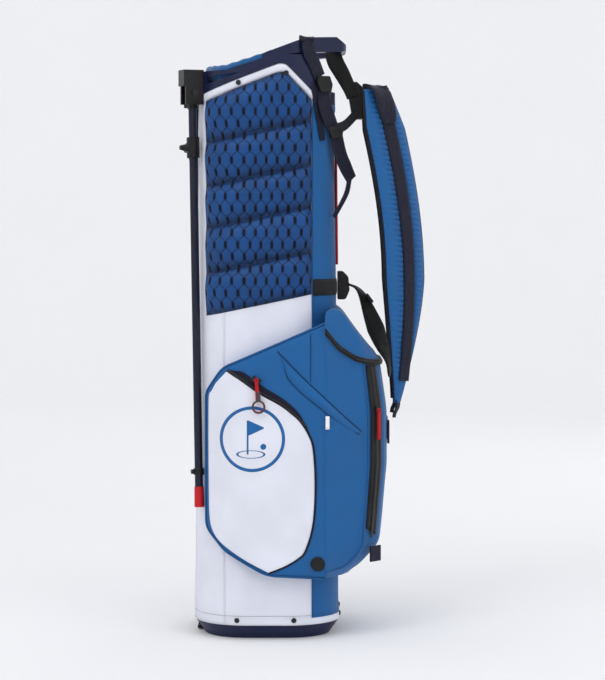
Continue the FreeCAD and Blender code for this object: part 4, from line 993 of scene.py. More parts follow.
# ---- quilted side pads -------------------------------------------------------------------------
PAD_X = (-88.0, 65.0)
PAD_DROPS = (351.0, 289.0, 224.0, 163.5, 100.0)
PAD_SLOPE = 0.21
PAD_MIDDLE = -12.0


def pad_seams(x):
    """Heights of the pad's seams at a place across it, from its lower edge to its top edge."""
    low = [peak() - drop + PAD_SLOPE * (x - PAD_MIDDLE) for drop in PAD_DROPS]
    return np.array(low + [top_line(x) - 12.3])


def pad_surface(x, z):
    """Points, outward directions and round-the-body places on the quilted pad."""
    x, z = np.broadcast_arrays(np.asarray(x, float), np.asarray(z, float))
    seams = pad_seams(x)
    puff = np.zeros_like(x)
    pinch = np.zeros_like(x)
    for low, high in zip(seams[:-1], seams[1:]):
        u = np.clip((z - low) / (high - low), 0, 1)
        inside = (z >= low) & (z <= high)
        puff = np.where(inside, np.sin(math.pi * u**1.45)**0.6, puff)
        pinch = np.where(inside, np.exp(-np.minimum(u, 1 - u) * (high - low) / 7.0), pinch)
    side_gap = np.minimum(x - PAD_X[0], PAD_X[1] - x)
    edge = np.clip(np.minimum(side_gap, np.minimum(z - seams[0], seams[-1] - z)) / 5.0, 0, 1)**0.5
    s = side_s(x, z)
    flat = np.stack([x, z * 0.22, 0 * x], -1)
    folds = wobble(flat, 7.0, 1.0, 3.0) * pinch + wobble(flat, 26.0, 0.8, 9.0)
    full = smooth(side_gap, 0, 14) * 0.65 + 0.35
    grow = 0.2 + edge * (1.9 + sizes().puff / MM * puff * full + folds)
    points, out = around(s, z, grow)
    return points, out, s


def pad_piece(label, side):
    columns, rows = 150, 250
    f = np.linspace(0, 1, columns)
    f = f * 0.8 + 0.2 * (0.5 - 0.5 * np.cos(math.pi * f))
    x = (PAD_X[0] + (PAD_X[1] - PAD_X[0]) * f)[None, :]
    seams = pad_seams(x[0])
    t = np.linspace(0, 1, rows)[:, None]
    z = seams[0] + (seams[-1] - seams[0]) * t
    points, _, s = pad_surface(x + 0 * z, z)
    piece = cloth("quilted_pad_" + label, points * [1, side, 1], "quilt_fabric", "quilt_fabric", thick=1.0,
                  uvs=np.stack([s, z], -1).reshape(-1, 2), away=(0, 0, 600))
    # Painted shade for the quilt's finish: a crease value that is 1 at each seam, fading over 9 mm above it
    # and 4 mm below.
    at = np.zeros(len(piece.data.vertices) * 3)
    piece.data.vertices.foreach_get("co", at)
    at = at.reshape(-1, 3) / MM
    seams = pad_seams(at[:, 0])
    above = np.min([np.where(at[:, 2] >= line - 1, at[:, 2] - line, 99.0) for line in seams], 0)
    below = np.min([np.where(at[:, 2] < line + 1, line - at[:, 2], 99.0) for line in seams], 0)
    crease = piece.data.attributes.new("crease", "FLOAT", "POINT")
    crease.data.foreach_set("value", np.maximum(np.exp(-(above / 9.0)**2), np.exp(-(below / 4.0)**2)))
    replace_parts(piece, "quilted_pads")
    return piece


def slit_piece(label, side):
    """The pad's embossed slits, each a narrow dark lozenge that lies on the puffed cloth."""
    low, high = peak() - PAD_DROPS[0] - 20, peak()
    verts, faces = [], []
    outline = [(0, -1), (0.75, -0.62), (1, -0.1), (0.75, 0.55),
               (0, 1), (-0.75, 0.55), (-1, -0.1), (-0.75, -0.62)]
    for k in range(int(low / QUILT_ROW), int(high / QUILT_ROW) + 1):
        z = k * QUILT_ROW
        for n in range(-9, 8):
            s = (n + (k % 2) * 0.5) * QUILT_PITCH
            x = around(s, z)[0][0]
            seams = pad_seams(x)
            if not (PAD_X[0] + 4 < x < PAD_X[1] - 3 and seams[0] + 5 < z < seams[-1] - 5) or abs(s) > 130:
                continue
            ring = []
            for a, b in [(0, 0)] + outline:
                place = z + b * 4.6
                there = around(s + a * 1.9, place)[0][0]
                point, out, _ = pad_surface(there, place)
                ring.append(point + out * (0.45 if (a, b) == (0, 0) else 0.05))
            first = len(verts)
            verts += ring
            faces += [(first, first + 1 + j, first + 1 + (j + 1) % 8) for j in range(8)]
    faces = outward(np.array(verts), np.array(faces), np.array([0.0, 0.0, 660.0]))
    verts = np.array(verts) * [1, side, 1]
    if side < 0:
        faces = faces[:, ::-1]
    piece = new_piece("quilt_slits_" + label, verts, faces, "quilt_slit")
    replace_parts(piece, "quilted_pads")
    return piece


def make_pads():
    lines, aways = [], []
    for label, side in SIDES:
        pad_piece(label, side)
        slit_piece(label, side)
        x = np.linspace(PAD_X[0] + 2, PAD_X[1] - 2, 120)
        for drop in PAD_DROPS[1:]:
            z = peak() - drop + PAD_SLOPE * (x - PAD_MIDDLE)
            points, out, _ = pad_surface(x, z)
            lines.append((points + out * 0.3) * [1, side, 1])
            aways.append(out * [1, side, 1])
    repeat("pad_stitches", lines, aways, STITCH_STEP, STITCH, "navy_thread")


# ---- side pockets ------------------------------------------------------------------------------
POCKET = rounded_outline([(-89, 162), (-62, 132), (0, 96), (86, 92), (86, 462), (-64, 397), (-89, 360)],
                         [30, 40, 60, 0, 0, 40, 30], 9)
POCKET_OPEN = np.concatenate([POCKET[np.argmax(POCKET[:, 0] + POCKET[:, 1]):],
                              POCKET[:np.argmax(POCKET[:, 0] - POCKET[:, 1]) + 1]])
FLAP_RIGHT = [(-57.7, 391.5), (-37.6, 379), (-8.9, 359), (19.8, 343), (37, 330), (48.4, 319), (59.5, 301.5),
              (66.5, 280), (69.5, 230), (66.5, 172.6), (55.6, 134), (45.6, 122.4), (26.9, 111), (2.5, 101)]
FLAP_LEFT = [(-26, 116), (-47, 129), (-68, 144), (-78, 157), (-83, 176), (-84.5, 220), (-84.5, 345),
             (-81, 360), (-73, 375)]
FLAP_LIFT = 2.0
FLAP_ZIP_POINTS = 34
EMBLEM = (-20.4, 295.0)


def bulge(x):
    """How far the pocket's front curves back near its leg-side edge."""
    d = np.clip(-24.0 - np.asarray(x, float), 0, None)
    near = np.minimum(d, 42.0)
    return 60.0 - np.sqrt(3600.0 - near**2) + (d - near)


def pocket_y(x, z, side=1.0):
    x, z = np.asarray(x, float), np.asarray(z, float)
    gap = distance(np.stack([x, z], -1), POCKET_OPEN, closed=False)
    sag = wobble(np.stack([x, 0 * x, z], -1), 55.0, 1.8, 2.0 + side) * smooth(gap, 0, 25)
    crown = 3.0 * np.exp(-gap / 16.0)
    return -sizes().pocket_front / MM + bulge(x) + crown + sag


def body_y(x, z):
    hx, hy, r = body_size(z)
    over = np.clip((np.abs(x) - (hx - r)) / r, 0, 0.97)
    return -(hy - r) - r * np.sqrt(1 - over**2)


def on_pocket(points, lift, side):
    p = np.asarray(points, float)
    y = pocket_y(p[..., 0], p[..., 1], side) - lift
    return np.stack([p[..., 0], y, p[..., 1]], -1) * [1, side, 1]


def patch(name, low_line, high_line, lift, key, slot, side, across=5, thick=0.8):
    """A strip of cloth on the pocket's front, between two lines of points."""
    a, b = np.asarray(low_line, float), np.asarray(high_line, float)
    t = np.linspace(0, 1, across)[:, None, None]
    grid = on_pocket(a * (1 - t) + b * t, lift, side)
    return cloth(name, grid, key, slot, thick=thick, away=(0, 0, 260))


def ring_patch(name, centre, inner, outer, lift, key, slot, side, start=0.0, end=TURN, flat=1.0):
    angle = np.linspace(start, end, 97)
    around_it = np.stack([np.cos(angle), np.sin(angle) * flat], -1)
    radii = np.linspace(inner, outer, 4)
    grid = on_pocket(np.array(centre) + radii[:, None, None] * around_it, lift, side)
    return cloth(name, grid, key, slot, thick=0.35, away=(0, 0, 260))


def offset_line(line, amounts):
    """A line moved sideways, to the right of its run."""
    along = tangents(np.asarray(line, float))
    return np.asarray(line) + np.stack([-along[:, 1], along[:, 0]], -1) * np.asarray(amounts)[:, None]


def make_side_pockets():
    for label, side in SIDES:
        front = swell("pocket_cloth_" + label, POCKET, lambda x, z, gap: pocket_y(x, z, side),
                      lambda x, z: body_y(x, z) + 3.0, "blue_fabric", side, sewn=POCKET_OPEN)
        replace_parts(front, "side_pocket_" + label)
        outline = np.concatenate([smooth_path(FLAP_RIGHT, 70), smooth_path(FLAP_LEFT, 60)])
        flap = swell("pocket_flap_" + label, outline, lambda x, z, gap: pocket_y(x, z, side) - FLAP_LIFT,
                     lambda x, z: pocket_y(x, z, side) + 1.0, "white_fabric", side,
                     roll=1.6, rings=3)
        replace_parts(flap, "pocket_flaps")
        path = on_pocket(resample_open(POCKET_OPEN, 5.0), -0.6, side)
        tube("pocket_piping_" + label, path, sizes().piping / MM, "blue_trim")
        edge = smooth_path(FLAP_RIGHT, 90)
        t = np.linspace(0, 1, 90)
        wide = np.interp(t, [0, 0.05, 0.2, 0.3, 0.36, 1], [3, 13, 12, 9, 3.2, 2.6])
        tape = patch("flap_zip_tape_" + label, edge, offset_line(edge, wide), 1.0,
                     "zip_tape", "zip_tape", side, 5)
        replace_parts(tape, "flap_zip_tapes")
        open_edge = edge[:FLAP_ZIP_POINTS]
        inner, outer = (offset_line(open_edge, np.full(FLAP_ZIP_POINTS, gap)) for gap in (1.6, 4.6))
        coil = patch("flap_zip_coil_" + label, inner, outer, 1.9, "zip_coil", "zip_tape", side, 3)
        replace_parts(coil, "flap_zip_tapes")
        ring_of = np.concatenate([outline, outline[:1]])
        inner = offset_line(ring_of, np.full(len(ring_of), -2.6))
        away = np.tile([-0.05, -1.0 * side, 0.0], (len(inner), 1))
        repeat("flap_stitches_" + label, [on_pocket(inner, FLAP_LIFT + 0.1, side)], [away],
               STITCH_STEP, STITCH, "white_thread")
        line = smooth_path([(66, 377), (66, 400), (66, 446)], 60)
        # A dark tube beside the vertical seam: painted shadow in the seam's groove.
        tube("pocket_seam_shadow_" + label, on_pocket(offset_line(line, np.full(60, 2.4)), -0.2, side), 0.8,
             "painted_shadow_line", sides=6)
        away = np.tile([0.0, -side, 0.0], (60, 1))
        repeat("pocket_stitches_" + label, [on_pocket(line, 0.2, side)], [away],
               STITCH_STEP, STITCH, "blue_thread")
    make_emblem()


def make_emblem():
    """A plain round mark: a flag on a pin beside its hole."""
    x, z = EMBLEM
    lift = FLAP_LIFT + 0.25
    ring_patch("mark_ring", EMBLEM, 42.8, 47.4, lift, "mark_blue", "blue_fabric", 1.0)
    pole = [(x - 6.5, z - 22), (x - 6.5, z + 27)]
    t = np.linspace(0, 1, 12)[:, None]
    line = np.array(pole[0]) * (1 - t) + np.array(pole[1]) * t
    patch("mark_pin", line - [1.2, 0], line + [1.2, 0], lift, "mark_blue", "blue_fabric", 1.0, 3, 0.35)
    up = np.linspace(0.02, 0.98, 14)[:, None]
    root = np.array([x - 5.3, z + 5]) * (1 - up) + np.array([x - 5.3, z + 27]) * up
    tip = root + np.stack([24 * (1 - np.abs(2 * up[:, 0] - 1)), 0 * up[:, 0]], -1)
    patch("mark_flag", root, tip, lift, "mark_blue", "blue_fabric", 1.0, 10, 0.35)
    ring_patch("mark_hole", (x - 2, z - 22), 18, 21, lift, "mark_blue", "blue_fabric", 1.0, flat=0.28)
    ring_patch("mark_ball", (x + 16, z - 11), 0.2, 4.2, lift, "mark_blue", "blue_fabric", 1.0)


def resample_open(line, step):
    run = np.cumsum(np.pad(np.linalg.norm(np.diff(line, axis=0), axis=1), (1, 0)))
    at = np.linspace(0, run[-1], int(run[-1] / step))
    return np.stack([np.interp(at, run, line[:, k]) for k in (0, 1)], -1)


# ---- ball pocket -------------------------------------------------------------------------------
BALL_FACE = 84.0
BALL_REACH = 177.0
BALL_HEIGHT = 340.0
BALL_PLAN = [(84, -132), (92, -127.5), (118, -110.5), (142, -95.2), (149, -90), (168, -68.5), (173, -60),
             (176, -44), (177, -20), (177, 0)]
BALL_PROFILE = [(92, 116), (96, 128), (106, 140), (130, 163), (140, 167), (252, 177), (330, 177),
                (405, 166), (430, 160)]
LID_LINE = [(84, 455), (108, 429), (136, 412), (159, 406), (177, 405)]
LID_ROOF = [(66, 462), (84, 474), (97, 482), (110, 475), (130, 446), (152, 418), (166, 409), (178, 406)]


def plan_line(count):
    near = smooth_path(BALL_PLAN, count // 2)
    return np.concatenate([near, near[-2::-1] * [1, -1]])


def level(points, x, soften=5.0):
    return rounded_line(points, soften)(x)


def ball_surface(plan, t, grow=0.0):
    """Points on the ball pocket: plan places by heights, 0 at its bottom and 1 at its lid line."""
    plan, t = np.asarray(plan, float), np.asarray(t, float)
    top = level(LID_LINE, plan[..., 0])
    z = 92.0 + (top - 92.0) * t
    reach = level(BALL_PROFILE, z, 8.0)
    x = BALL_FACE + (plan[..., 0] - BALL_FACE) * (reach - BALL_FACE) / (BALL_REACH - BALL_FACE)
    tuck = 1.0 - 0.05 * (1 - smooth(t, 0, 0.04))
    points = np.stack([x, plan[..., 1] * tuck, z], -1)
    out = unit(np.stack([x - 60.0, plan[..., 1] * 0.95, 0 * x], -1))
    return points + out * np.asarray(grow)[..., None], out


def ball_place(x_plan, count=400):
    """The plan point nearest a place x on the near side."""
    xs, ys = plan_line(count)[:count // 2].T
    return np.stack([np.interp(x_plan, xs, xs), np.interp(x_plan, xs, ys)], -1)


def make_ball_pocket():
    columns, rows = 200, 120
    plan = plan_line(columns)[None]
    t = np.linspace(0, 1, rows)[:, None]
    points, out = ball_surface(plan + 0 * t[..., None], t + 0 * plan[..., 0])
    near = smooth(plan[..., 0], 84, 100) * (1 - 0.8 * smooth(plan[..., 0], 134, 142))
    soft = wobble(points, 48.0, 2.6, 5.0) * near * smooth(t, 0, 0.1) * (1 - smooth(t, 0.92, 1.0))
    fold = slip_fold(points)
    points = points + out * (soft + fold)[..., None]
    under = points[0] * [1, 0.7, 1]
    under[:, 0] = 70.0 + (under[:, 0] - BALL_FACE) * 0.1
    under[:, 2] = 96.0
    grid = np.concatenate([under[None], points])
    cloth_piece = cloth("ball_pocket_cloth", grid, "blue_fabric", "blue_fabric", thick=1.4, away=(60, 0, 260))
    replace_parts(cloth_piece, "ball_pocket")
    make_lid(plan[0])
    for label, side in SIDES:
        corner = ball_place(147.0)
        heights = np.linspace(0.985, 0.14, 60)
        path = ball_surface(np.tile(corner, (60, 1)), heights, 0.4)[0]
        turn = [ball_surface(ball_place(x), h, 0.4)[0]
                for x, h in ((144.0, 0.09), (134.0, 0.05), (118.0, 0.035), (98, 0.03), (86, 0.03))]
        path = smooth_path(np.concatenate([path, turn]), 120) * [1, side, 1]
        tube("ball_pocket_piping_" + label, path, 1.1, "blue_trim", sides=6)
    make_reflector()
    make_slip_pocket()


SLIP_SEAM = [(16.5, 420.6), (54, 382), (84, 354), (121, 318), (137.5, 303)]
SLIP_FOLD = [(26.3, 404.8), (29.8, 384.7), (48.4, 363.2), (79.9, 337.4), (113.5, 309.2), (135.4, 298.8)]


def near_face(points, lift):
    """Places (x, z) laid on the near side pocket and, past its edge, on the ball pocket's near face."""
    made = []
    for x, z in points:
        if x <= BALL_FACE:
            made.append(on_pocket((x, z), lift, 1.0))
        else:
            plan = ball_place(x)
            made.append(ball_surface(plan, (z - 92.0) / (level(LID_LINE, plan[0]) - 92.0), lift)[0])
    return np.array(made)


def make_slip_pocket():
    """The slip pocket's mouth across the near face: a seam, and a soft lip that hangs below it."""
    seam, fold = smooth_path(SLIP_SEAM, 70), smooth_path(SLIP_FOLD, 70)
    rows = []
    for t in np.linspace(0, 1, 12):
        crown = (0.7 + 3.4 * math.sin(math.pi * t**1.3)) * np.sin(math.pi * np.linspace(0.02, 0.98, 70))**0.5
        line = near_face(seam * (1 - t) + fold * t, 0.0)
        rows.append(line + np.outer(crown, [0.15, -1.0, 0.0]))
    cloth("slip_pocket_lip", np.array(rows), "blue_fabric", "blue_fabric", thick=0.8, away=(60, 0, 300))
    # Dark tubes along the seam and the lip's fold: painted shadow in the seam and under the lip.
    for name, line, radius in (("seam", seam, 0.9), ("fold", fold, 0.7)):
        tube("slip_pocket_" + name, near_face(line, 0.7), radius, "painted_shadow_line", sides=6)


def slip_fold(points):
    """The open slip pocket's edge, which stands out across the near face."""
    x, y, z = points[..., 0], points[..., 1], points[..., 2]
    line = np.interp(x, [60, 84, 110, 133, 150], [352, 331, 311, 298, 294])
    gap = z - line
    fade = np.where(gap < 0, 26.0, 1.5)
    lip = 3.2 * np.exp(-np.abs(gap) / fade)
    return lip * (y < 0) * smooth(x, 84, 96) * (1 - smooth(x, 128, 140))


def make_lid(plan):
    rows = 46
    edge, out = ball_surface(plan, np.ones(len(plan)))
    root_y = np.interp(np.abs(edge[:, 1]), [0, 132], [0, 96]) * np.sign(edge[:, 1])
    grid = []
    for r in np.linspace(0, 1, rows):
        x = edge[:, 0] * (1 - r) + 88.0 * r
        y = edge[:, 1] * (1 - r) + root_y * r
        roof = level(LID_ROOF, x) + 2.0 * math.sin(math.pi * min(1, r))
        rise = smooth(r, 0, 0.16)
        z = edge[:, 2] + (np.maximum(roof, edge[:, 2] + 1.5) - edge[:, 2]) * rise
        lean = out * (1.2 + 2.0 * math.sin(math.pi * min(1.0, r / 0.2)) * (r < 0.2))
        grid.append(np.stack([x, y, z], -1) + lean * (1 - smooth(r, 0.2, 0.4)))
    piece = cloth("ball_pocket_lid_cloth", np.array(grid), "blue_fabric", "blue_fabric", thick=1.4,
                  away=(90, 0, 340))
    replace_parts(piece, "ball_pocket_lid")
    rows = [ball_surface(plan, np.ones(len(plan)) - drop / BALL_HEIGHT, grow)[0]
            for drop, grow in ((-1.5, 1.0), (-0.5, 3.4), (1.5, 3.6), (5.0, 3.6), (7.5, 3.2), (8.5, 0.4))]
    tape = cloth("lid_zip_cloth", np.array(rows), "black_tape", "zip_tape", thick=0.8, away=(60, 0, 340))
    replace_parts(tape, "lid_zip_tape")
    rows = [ball_surface(plan, np.ones(len(plan)) - drop / BALL_HEIGHT, grow)[0]
            for drop, grow in ((2.0, 3.4), (2.4, 4.4), (4.8, 4.4), (5.2, 3.4))]
    coil = cloth("lid_zip_coil", np.array(rows), "zip_coil", "zip_tape", thick=0.5, away=(60, 0, 340))
    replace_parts(coil, "lid_zip_tape")


def make_reflector():
    """A small plain reflective tab on the near face, and the round badge."""
    plan = np.stack([ball_place(x) for x in (84.6, 86.4, 88.2, 90.0)])
    rows = []
    for z in np.linspace(309, 328, 6):
        t = (z - 92.0) / (level(LID_LINE, plan[:, 0]) - 92.0)
        rows.append(ball_surface(plan, t, 4.2)[0])
    cloth("reflective_tab", np.array(rows), "reflective", "white_fabric", thick=0.8, away=(60, 0, 300))
    refine("badge", bevel=0.5)


ZIP_FACE = ((147.0, -92.0), (170.0, -66.0))


def make_corner_zip():
    a, b = np.array(ZIP_FACE, float)
    along = (b - a) / np.linalg.norm(b - a)
    out = np.array([along[1], -along[0]])
    middle = (a + b) / 2

    def drawn_in(x, z):
        """A place on the zip's face, nearer the bag where the pocket is shallower."""
        squeeze = (level(BALL_PROFILE, z, 8.0) - BALL_FACE) / (BALL_REACH - BALL_FACE)
        return BALL_FACE + (x - BALL_FACE) * squeeze

    def band(name, half, z0, z1, lift, key, slant=0.0, thick=0.8):
        rows = []
        for z in np.linspace(z0, z1, 40):
            row = []
            for c in np.linspace(-1, 1, 7):
                x, y = middle + along * half * c + out * (lift + 0.5 * (1 - c * c))
                row.append((drawn_in(x, z), y, z + slant * (1 - c) * (z - z1) / (z0 - z1)))
            rows.append(row)
        return cloth(name, np.array(rows), key, "zip_tape", thick=thick, away=(90, 0, 260))

    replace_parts(band("corner_zip_cloth", 12.5, 148, 399, 2.4, "black_tape", 6.0), "corner_zip_tape")
    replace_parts(band("corner_zip_coil", 2.6, 146, 397, 3.3, "zip_coil", thick=0.6), "corner_zip_tape")
    lines, aways = [], []
    for c in (-8.5, 8.5):
        z = np.linspace(152, 386, 90)
        x, y = middle + along * c + out * 2.8
        lines.append(np.stack([drawn_in(x, z), 0 * z + y, z], -1))
        aways.append(np.tile([out[0], out[1], 0.0], (90, 1)))
    repeat("corner_zip_stitches", lines, aways, STITCH_STEP, STITCH, "navy_thread")
    refine("webbing_loop", bevel=0.6)
    for node, key in (("flap_slider", "dark_metal"), ("flap_pull", "red_trim"),
                      ("corner_slider", "dark_metal"), ("corner_pull", "red_trim")):
        refine(node, node, 0.5, key)
    make_pull_ring()


def make_pull_ring():
    """The flap pull's grey tab and its open ring, on the pull's own body."""
    low, high = box_mm("flap_pull")
    y = low[1] - 0.4
    x = (low[0] + high[0]) / 2
    z = low[2] + 9.0
    angle = np.linspace(0, TURN, 40, endpoint=False)
    ring = np.stack([x + 8.6 * np.cos(angle), 0 * angle + y, z + 8.6 * np.sin(angle)], -1)
    tube("pull_ring", ring, 1.3, "pull_metal", "flap_pull", True, 10)
    tab = rounded_outline([(x - 3, z + 8), (x + 3, z + 8), (x + 2.6, z + 22), (x - 2.6, z + 22)], 1.2, 4)
    plate("pull_tab", tab, lambda a, b, d: (a, y + d, b), (-1.4, 1.4), "pull_metal",
          "flap_pull", 0.5)


# ---- shoulder straps ---------------------------------------------------------------------------
STRAP_TOP_Z = 800.0
STRAP_END_Z = 341.0
STRAP_Y = 46.0
PAD_TURN = math.radians(40)
ACROSS = np.array([math.cos(PAD_TURN), math.sin(PAD_TURN), 0.0])
OUT = np.array([math.sin(PAD_TURN), -math.cos(PAD_TURN), 0.0])


STRAP_RUN = 470.0
PUCKER_STEP = 7.6


def strap_middle(f):
    f = np.asarray(f, float)
    x = 160.0 + 31.0 * f + 25.0 * np.sin(math.pi * f)
    return np.stack([x, 0 * f - STRAP_Y, STRAP_TOP_Z + (STRAP_END_Z - STRAP_TOP_Z) * f], -1)


def strap_half(f):
    f = np.asarray(f, float)
    return 37.5 * np.where(f < 0.12, 0.67 + 0.33 * f / 0.12, np.where(
        f > 0.6, 1 - 0.86 * (np.clip(f - 0.6, 0, 1) / 0.4)**1.3, 1.0))


def strap_face(f, c, lift=0.0):
    """Points on the pad's outer face, c from -1 at its bag edge to 1 at its outer edge."""
    f, c = np.broadcast_arrays(np.asarray(f, float), np.asarray(c, float))
    half = strap_half(f)
    round_edge = (1 - np.clip(np.abs(c), 0, 1)**3.2)**0.5
    offset = c * half - 4.0
    web = smooth(np.abs(offset), 10.5, 15.0)
    run = f * STRAP_RUN
    phase = run * TURN / PUCKER_STEP
    pucker = 1.5 * np.sin(phase + 0.9 * np.sin(run / 23.0)) * np.exp(-((np.abs(offset) - 17.0) / 7.0)**2)
    pucker += 0.8 * np.sin(phase + 2.0) * np.exp(-((np.abs(c) - 0.93) * half / 4.0)**2)
    swell_up = 0.5 + (5.6 * web + 3.2 * (1 - web)) * round_edge + pucker * round_edge
    middle = strap_middle(f)
    points = middle + ACROSS * (c * half)[..., None] + OUT * (swell_up + lift)[..., None]
    points = points + OUT * wobble(points, 34.0, 0.7, 11.0)[..., None]
    return points


def shoulder_pad(label, side):
    fractions = np.linspace(0, 1, 300)[:, None]
    outer = strap_face(fractions, np.linspace(-1, 1, 44)[None, :])
    inner_c = np.linspace(1, -1, 22)[None, 1:-1]
    hollow = strap_middle(fractions + 0 * inner_c) + ACROSS * (inner_c * strap_half(fractions))[..., None]
    depth = 0.5 + 5.4 * (1 - np.abs(inner_c)**3)**0.5 + 0 * fractions
    inner = hollow - OUT * depth[..., None]
    rings = np.concatenate([outer, inner], 1) * [1, side, 1]
    pad = loft("shoulder_pad_cloth_" + label, rings, "pad_fabric", "strap_" + label)
    pad.data.materials.append(paint("black_mesh"))
    sides = rings.shape[1]
    index = np.zeros(len(pad.data.polygons), dtype=np.int32)
    for i in range(len(index) - 2):
        index[i] = 1 if i % sides >= 44 else 0
    pad.data.polygons.foreach_set("material_index", index)
    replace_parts(pad, "shoulder_pad_" + label)
    body = "strap_" + label
    for end, c in (("bag", -1.0), ("outer", 1.0)):
        f = np.linspace(0.004, 0.996, 140)
        path = (strap_middle(f) + ACROSS * (c * strap_half(f))[:, None]) * [1, side, 1]
        tube("shoulder_pad_binding_%s_%s" % (end, label), path, 1.5, "navy_fabric", body)
    lines, aways = [], []
    f = np.linspace(0.02, 0.86, 240)
    for offset in (14.2, -14.2):
        c = (4.0 + offset) / strap_half(f)
        lines.append(strap_face(f, c, 0.2) * [1, side, 1])
        aways.append(np.tile(OUT * [1, side, 1], (len(f), 1)))
    repeat("shoulder_pad_stitches_" + label, lines, aways, STITCH_STEP, STITCH, "blue_thread",
           body)


def strap_web(label, side):
    """Webbing down the pad, its folded top towards the yoke and its tail below the tip."""
    body = "strap_" + label
    flip = [1, side, 1]
    f = np.linspace(-0.012, 0.93, 26)
    middle = strap_middle(np.clip(f, 0, 1)) + ACROSS * 4.0 + OUT * 6.0
    middle[:, 2] = STRAP_TOP_Z + (STRAP_END_Z - STRAP_TOP_Z) * f
    width = sizes().web / MM * (1 - 0.25 * np.clip(f, 0, 1))
    across = np.tile(ACROSS, (len(f), 1))
    main = strap("strap_web_" + label, middle * flip, across * flip, width, 1.9, "navy_webbing",
                 body, 170)
    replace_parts(main, "strap_webbing_" + label)
    lines = []
    box_f = np.linspace(0.015, 0.075, 20)
    for edge in (-9.0, 9.0):
        lines.append((strap_middle(box_f) + ACROSS * (4.0 + edge) + OUT * 7.1) * flip)
    for a, b in ((-9.0, 9.0), (9.0, -9.0)):
        slide = np.linspace(a, b, 20)[:, None]
        lines.append((strap_middle(box_f) + ACROSS * (4.0 + slide) + OUT * 7.1) * flip)
    for at in (0.015, 0.075):
        slide = np.linspace(-9, 9, 20)[:, None]
        lines.append((strap_middle(np.full(20, at)) + ACROSS * (4.0 + slide) + OUT * 7.1) * flip)
    aways = [np.tile(OUT * flip, (20, 1)) for _ in lines]
    repeat("strap_box_stitch_" + label, lines, aways, 2.4, (1.9, 0.5, 0.5), "navy_thread",
           body)
    top = strap_middle(0.0)
    hook = np.array([147.5, -9.0, STRAP_TOP_Z + 3])
    fold = [hook, hook * 0.5 + top * 0.5 + [0, 0, 5.0], top + OUT * 2 + [0, 0, 4.5],
            top + ACROSS * 0.6 + OUT * 10.0 + [0, 0, -2],
            strap_middle(0.035) + ACROSS * 1.8 + OUT * 10.6, strap_middle(0.07) + ACROSS * 3.2 + OUT * 10.0,
            strap_middle(0.105) + ACROSS * 4 + OUT * 8.8]
    turn = np.array([[0.3, 1, 0], [0.75, 0.6, 0], ACROSS, ACROSS, ACROSS, ACROSS, ACROSS])
    piece = strap("strap_fold_" + label, np.array(fold) * flip, turn * flip, [12, 26, 40, 42, 38, 32, 25],
                  2.2, "navy_webbing", body, 50)
    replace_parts(piece, "strap_webbing_" + label)
    tip = strap_middle(1.0)
    low = np.array([187.0, -STRAP_Y, STRAP_END_Z - 22])
    line = np.array([tip + [0, 0, 14], tip + [1.5, 0, -4], low + [1, 0, 6], low])
    tail = strap("strap_tail_" + label, line * flip, np.tile([0.5, 0.86, 0], (4, 1)) * flip, [11, 12, 9, 7],
                 2.4, "navy_webbing", body, 24)
    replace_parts(tail, "strap_webbing_" + label)


def make_straps():
    for label, side in SIDES:
        shoulder_pad(label, side)
        strap_web(label, side)
    refine("lower_anchors", bevel=0.6)


# ---- webbing on the bag ------------------------------------------------------------------------
SIDE_TURN = math.radians(38.7)
SIDE_RUN = np.array([math.cos(SIDE_TURN), math.sin(SIDE_TURN), 0.0])
SIDE_OUT = np.array([math.sin(SIDE_TURN), -math.cos(SIDE_TURN), 0.0])


def side_plane():
    hx, hy, r = [float(v) for v in body_size(peak() - 20)]
    return (hx + 1.5 - (r + 1.5)) * SIDE_OUT[0] - (hy - r) * SIDE_OUT[1] + r + 1.5 + 0.3


def on_side(x, z, out=0.0):
    """A point in the upright plane beside the handle that its webbing hangs in."""
    start = SIDE_OUT * (side_plane() + out)
    return start + SIDE_RUN * ((x - start[0]) / SIDE_RUN[0]) + np.array([0, 0, z])


def side_web(name, points, width, replaced, outs=None, key="navy_webbing", thick=1.9, count=50):
    outs = outs or [0.0] * len(points)
    path = [on_side(x, z, out + 1.1) for (x, z), out in zip(points, outs)]
    flat = np.array([[np.dot(p, SIDE_RUN), p[2]] for p in path])
    along = unit(np.gradient(flat, axis=0))
    across = [SIDE_RUN * a[1] - np.array([0, 0, a[0]]) for a in along]
    piece = strap(name, path, across, width, thick, key, count=count)
    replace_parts(piece, replaced)
    return piece


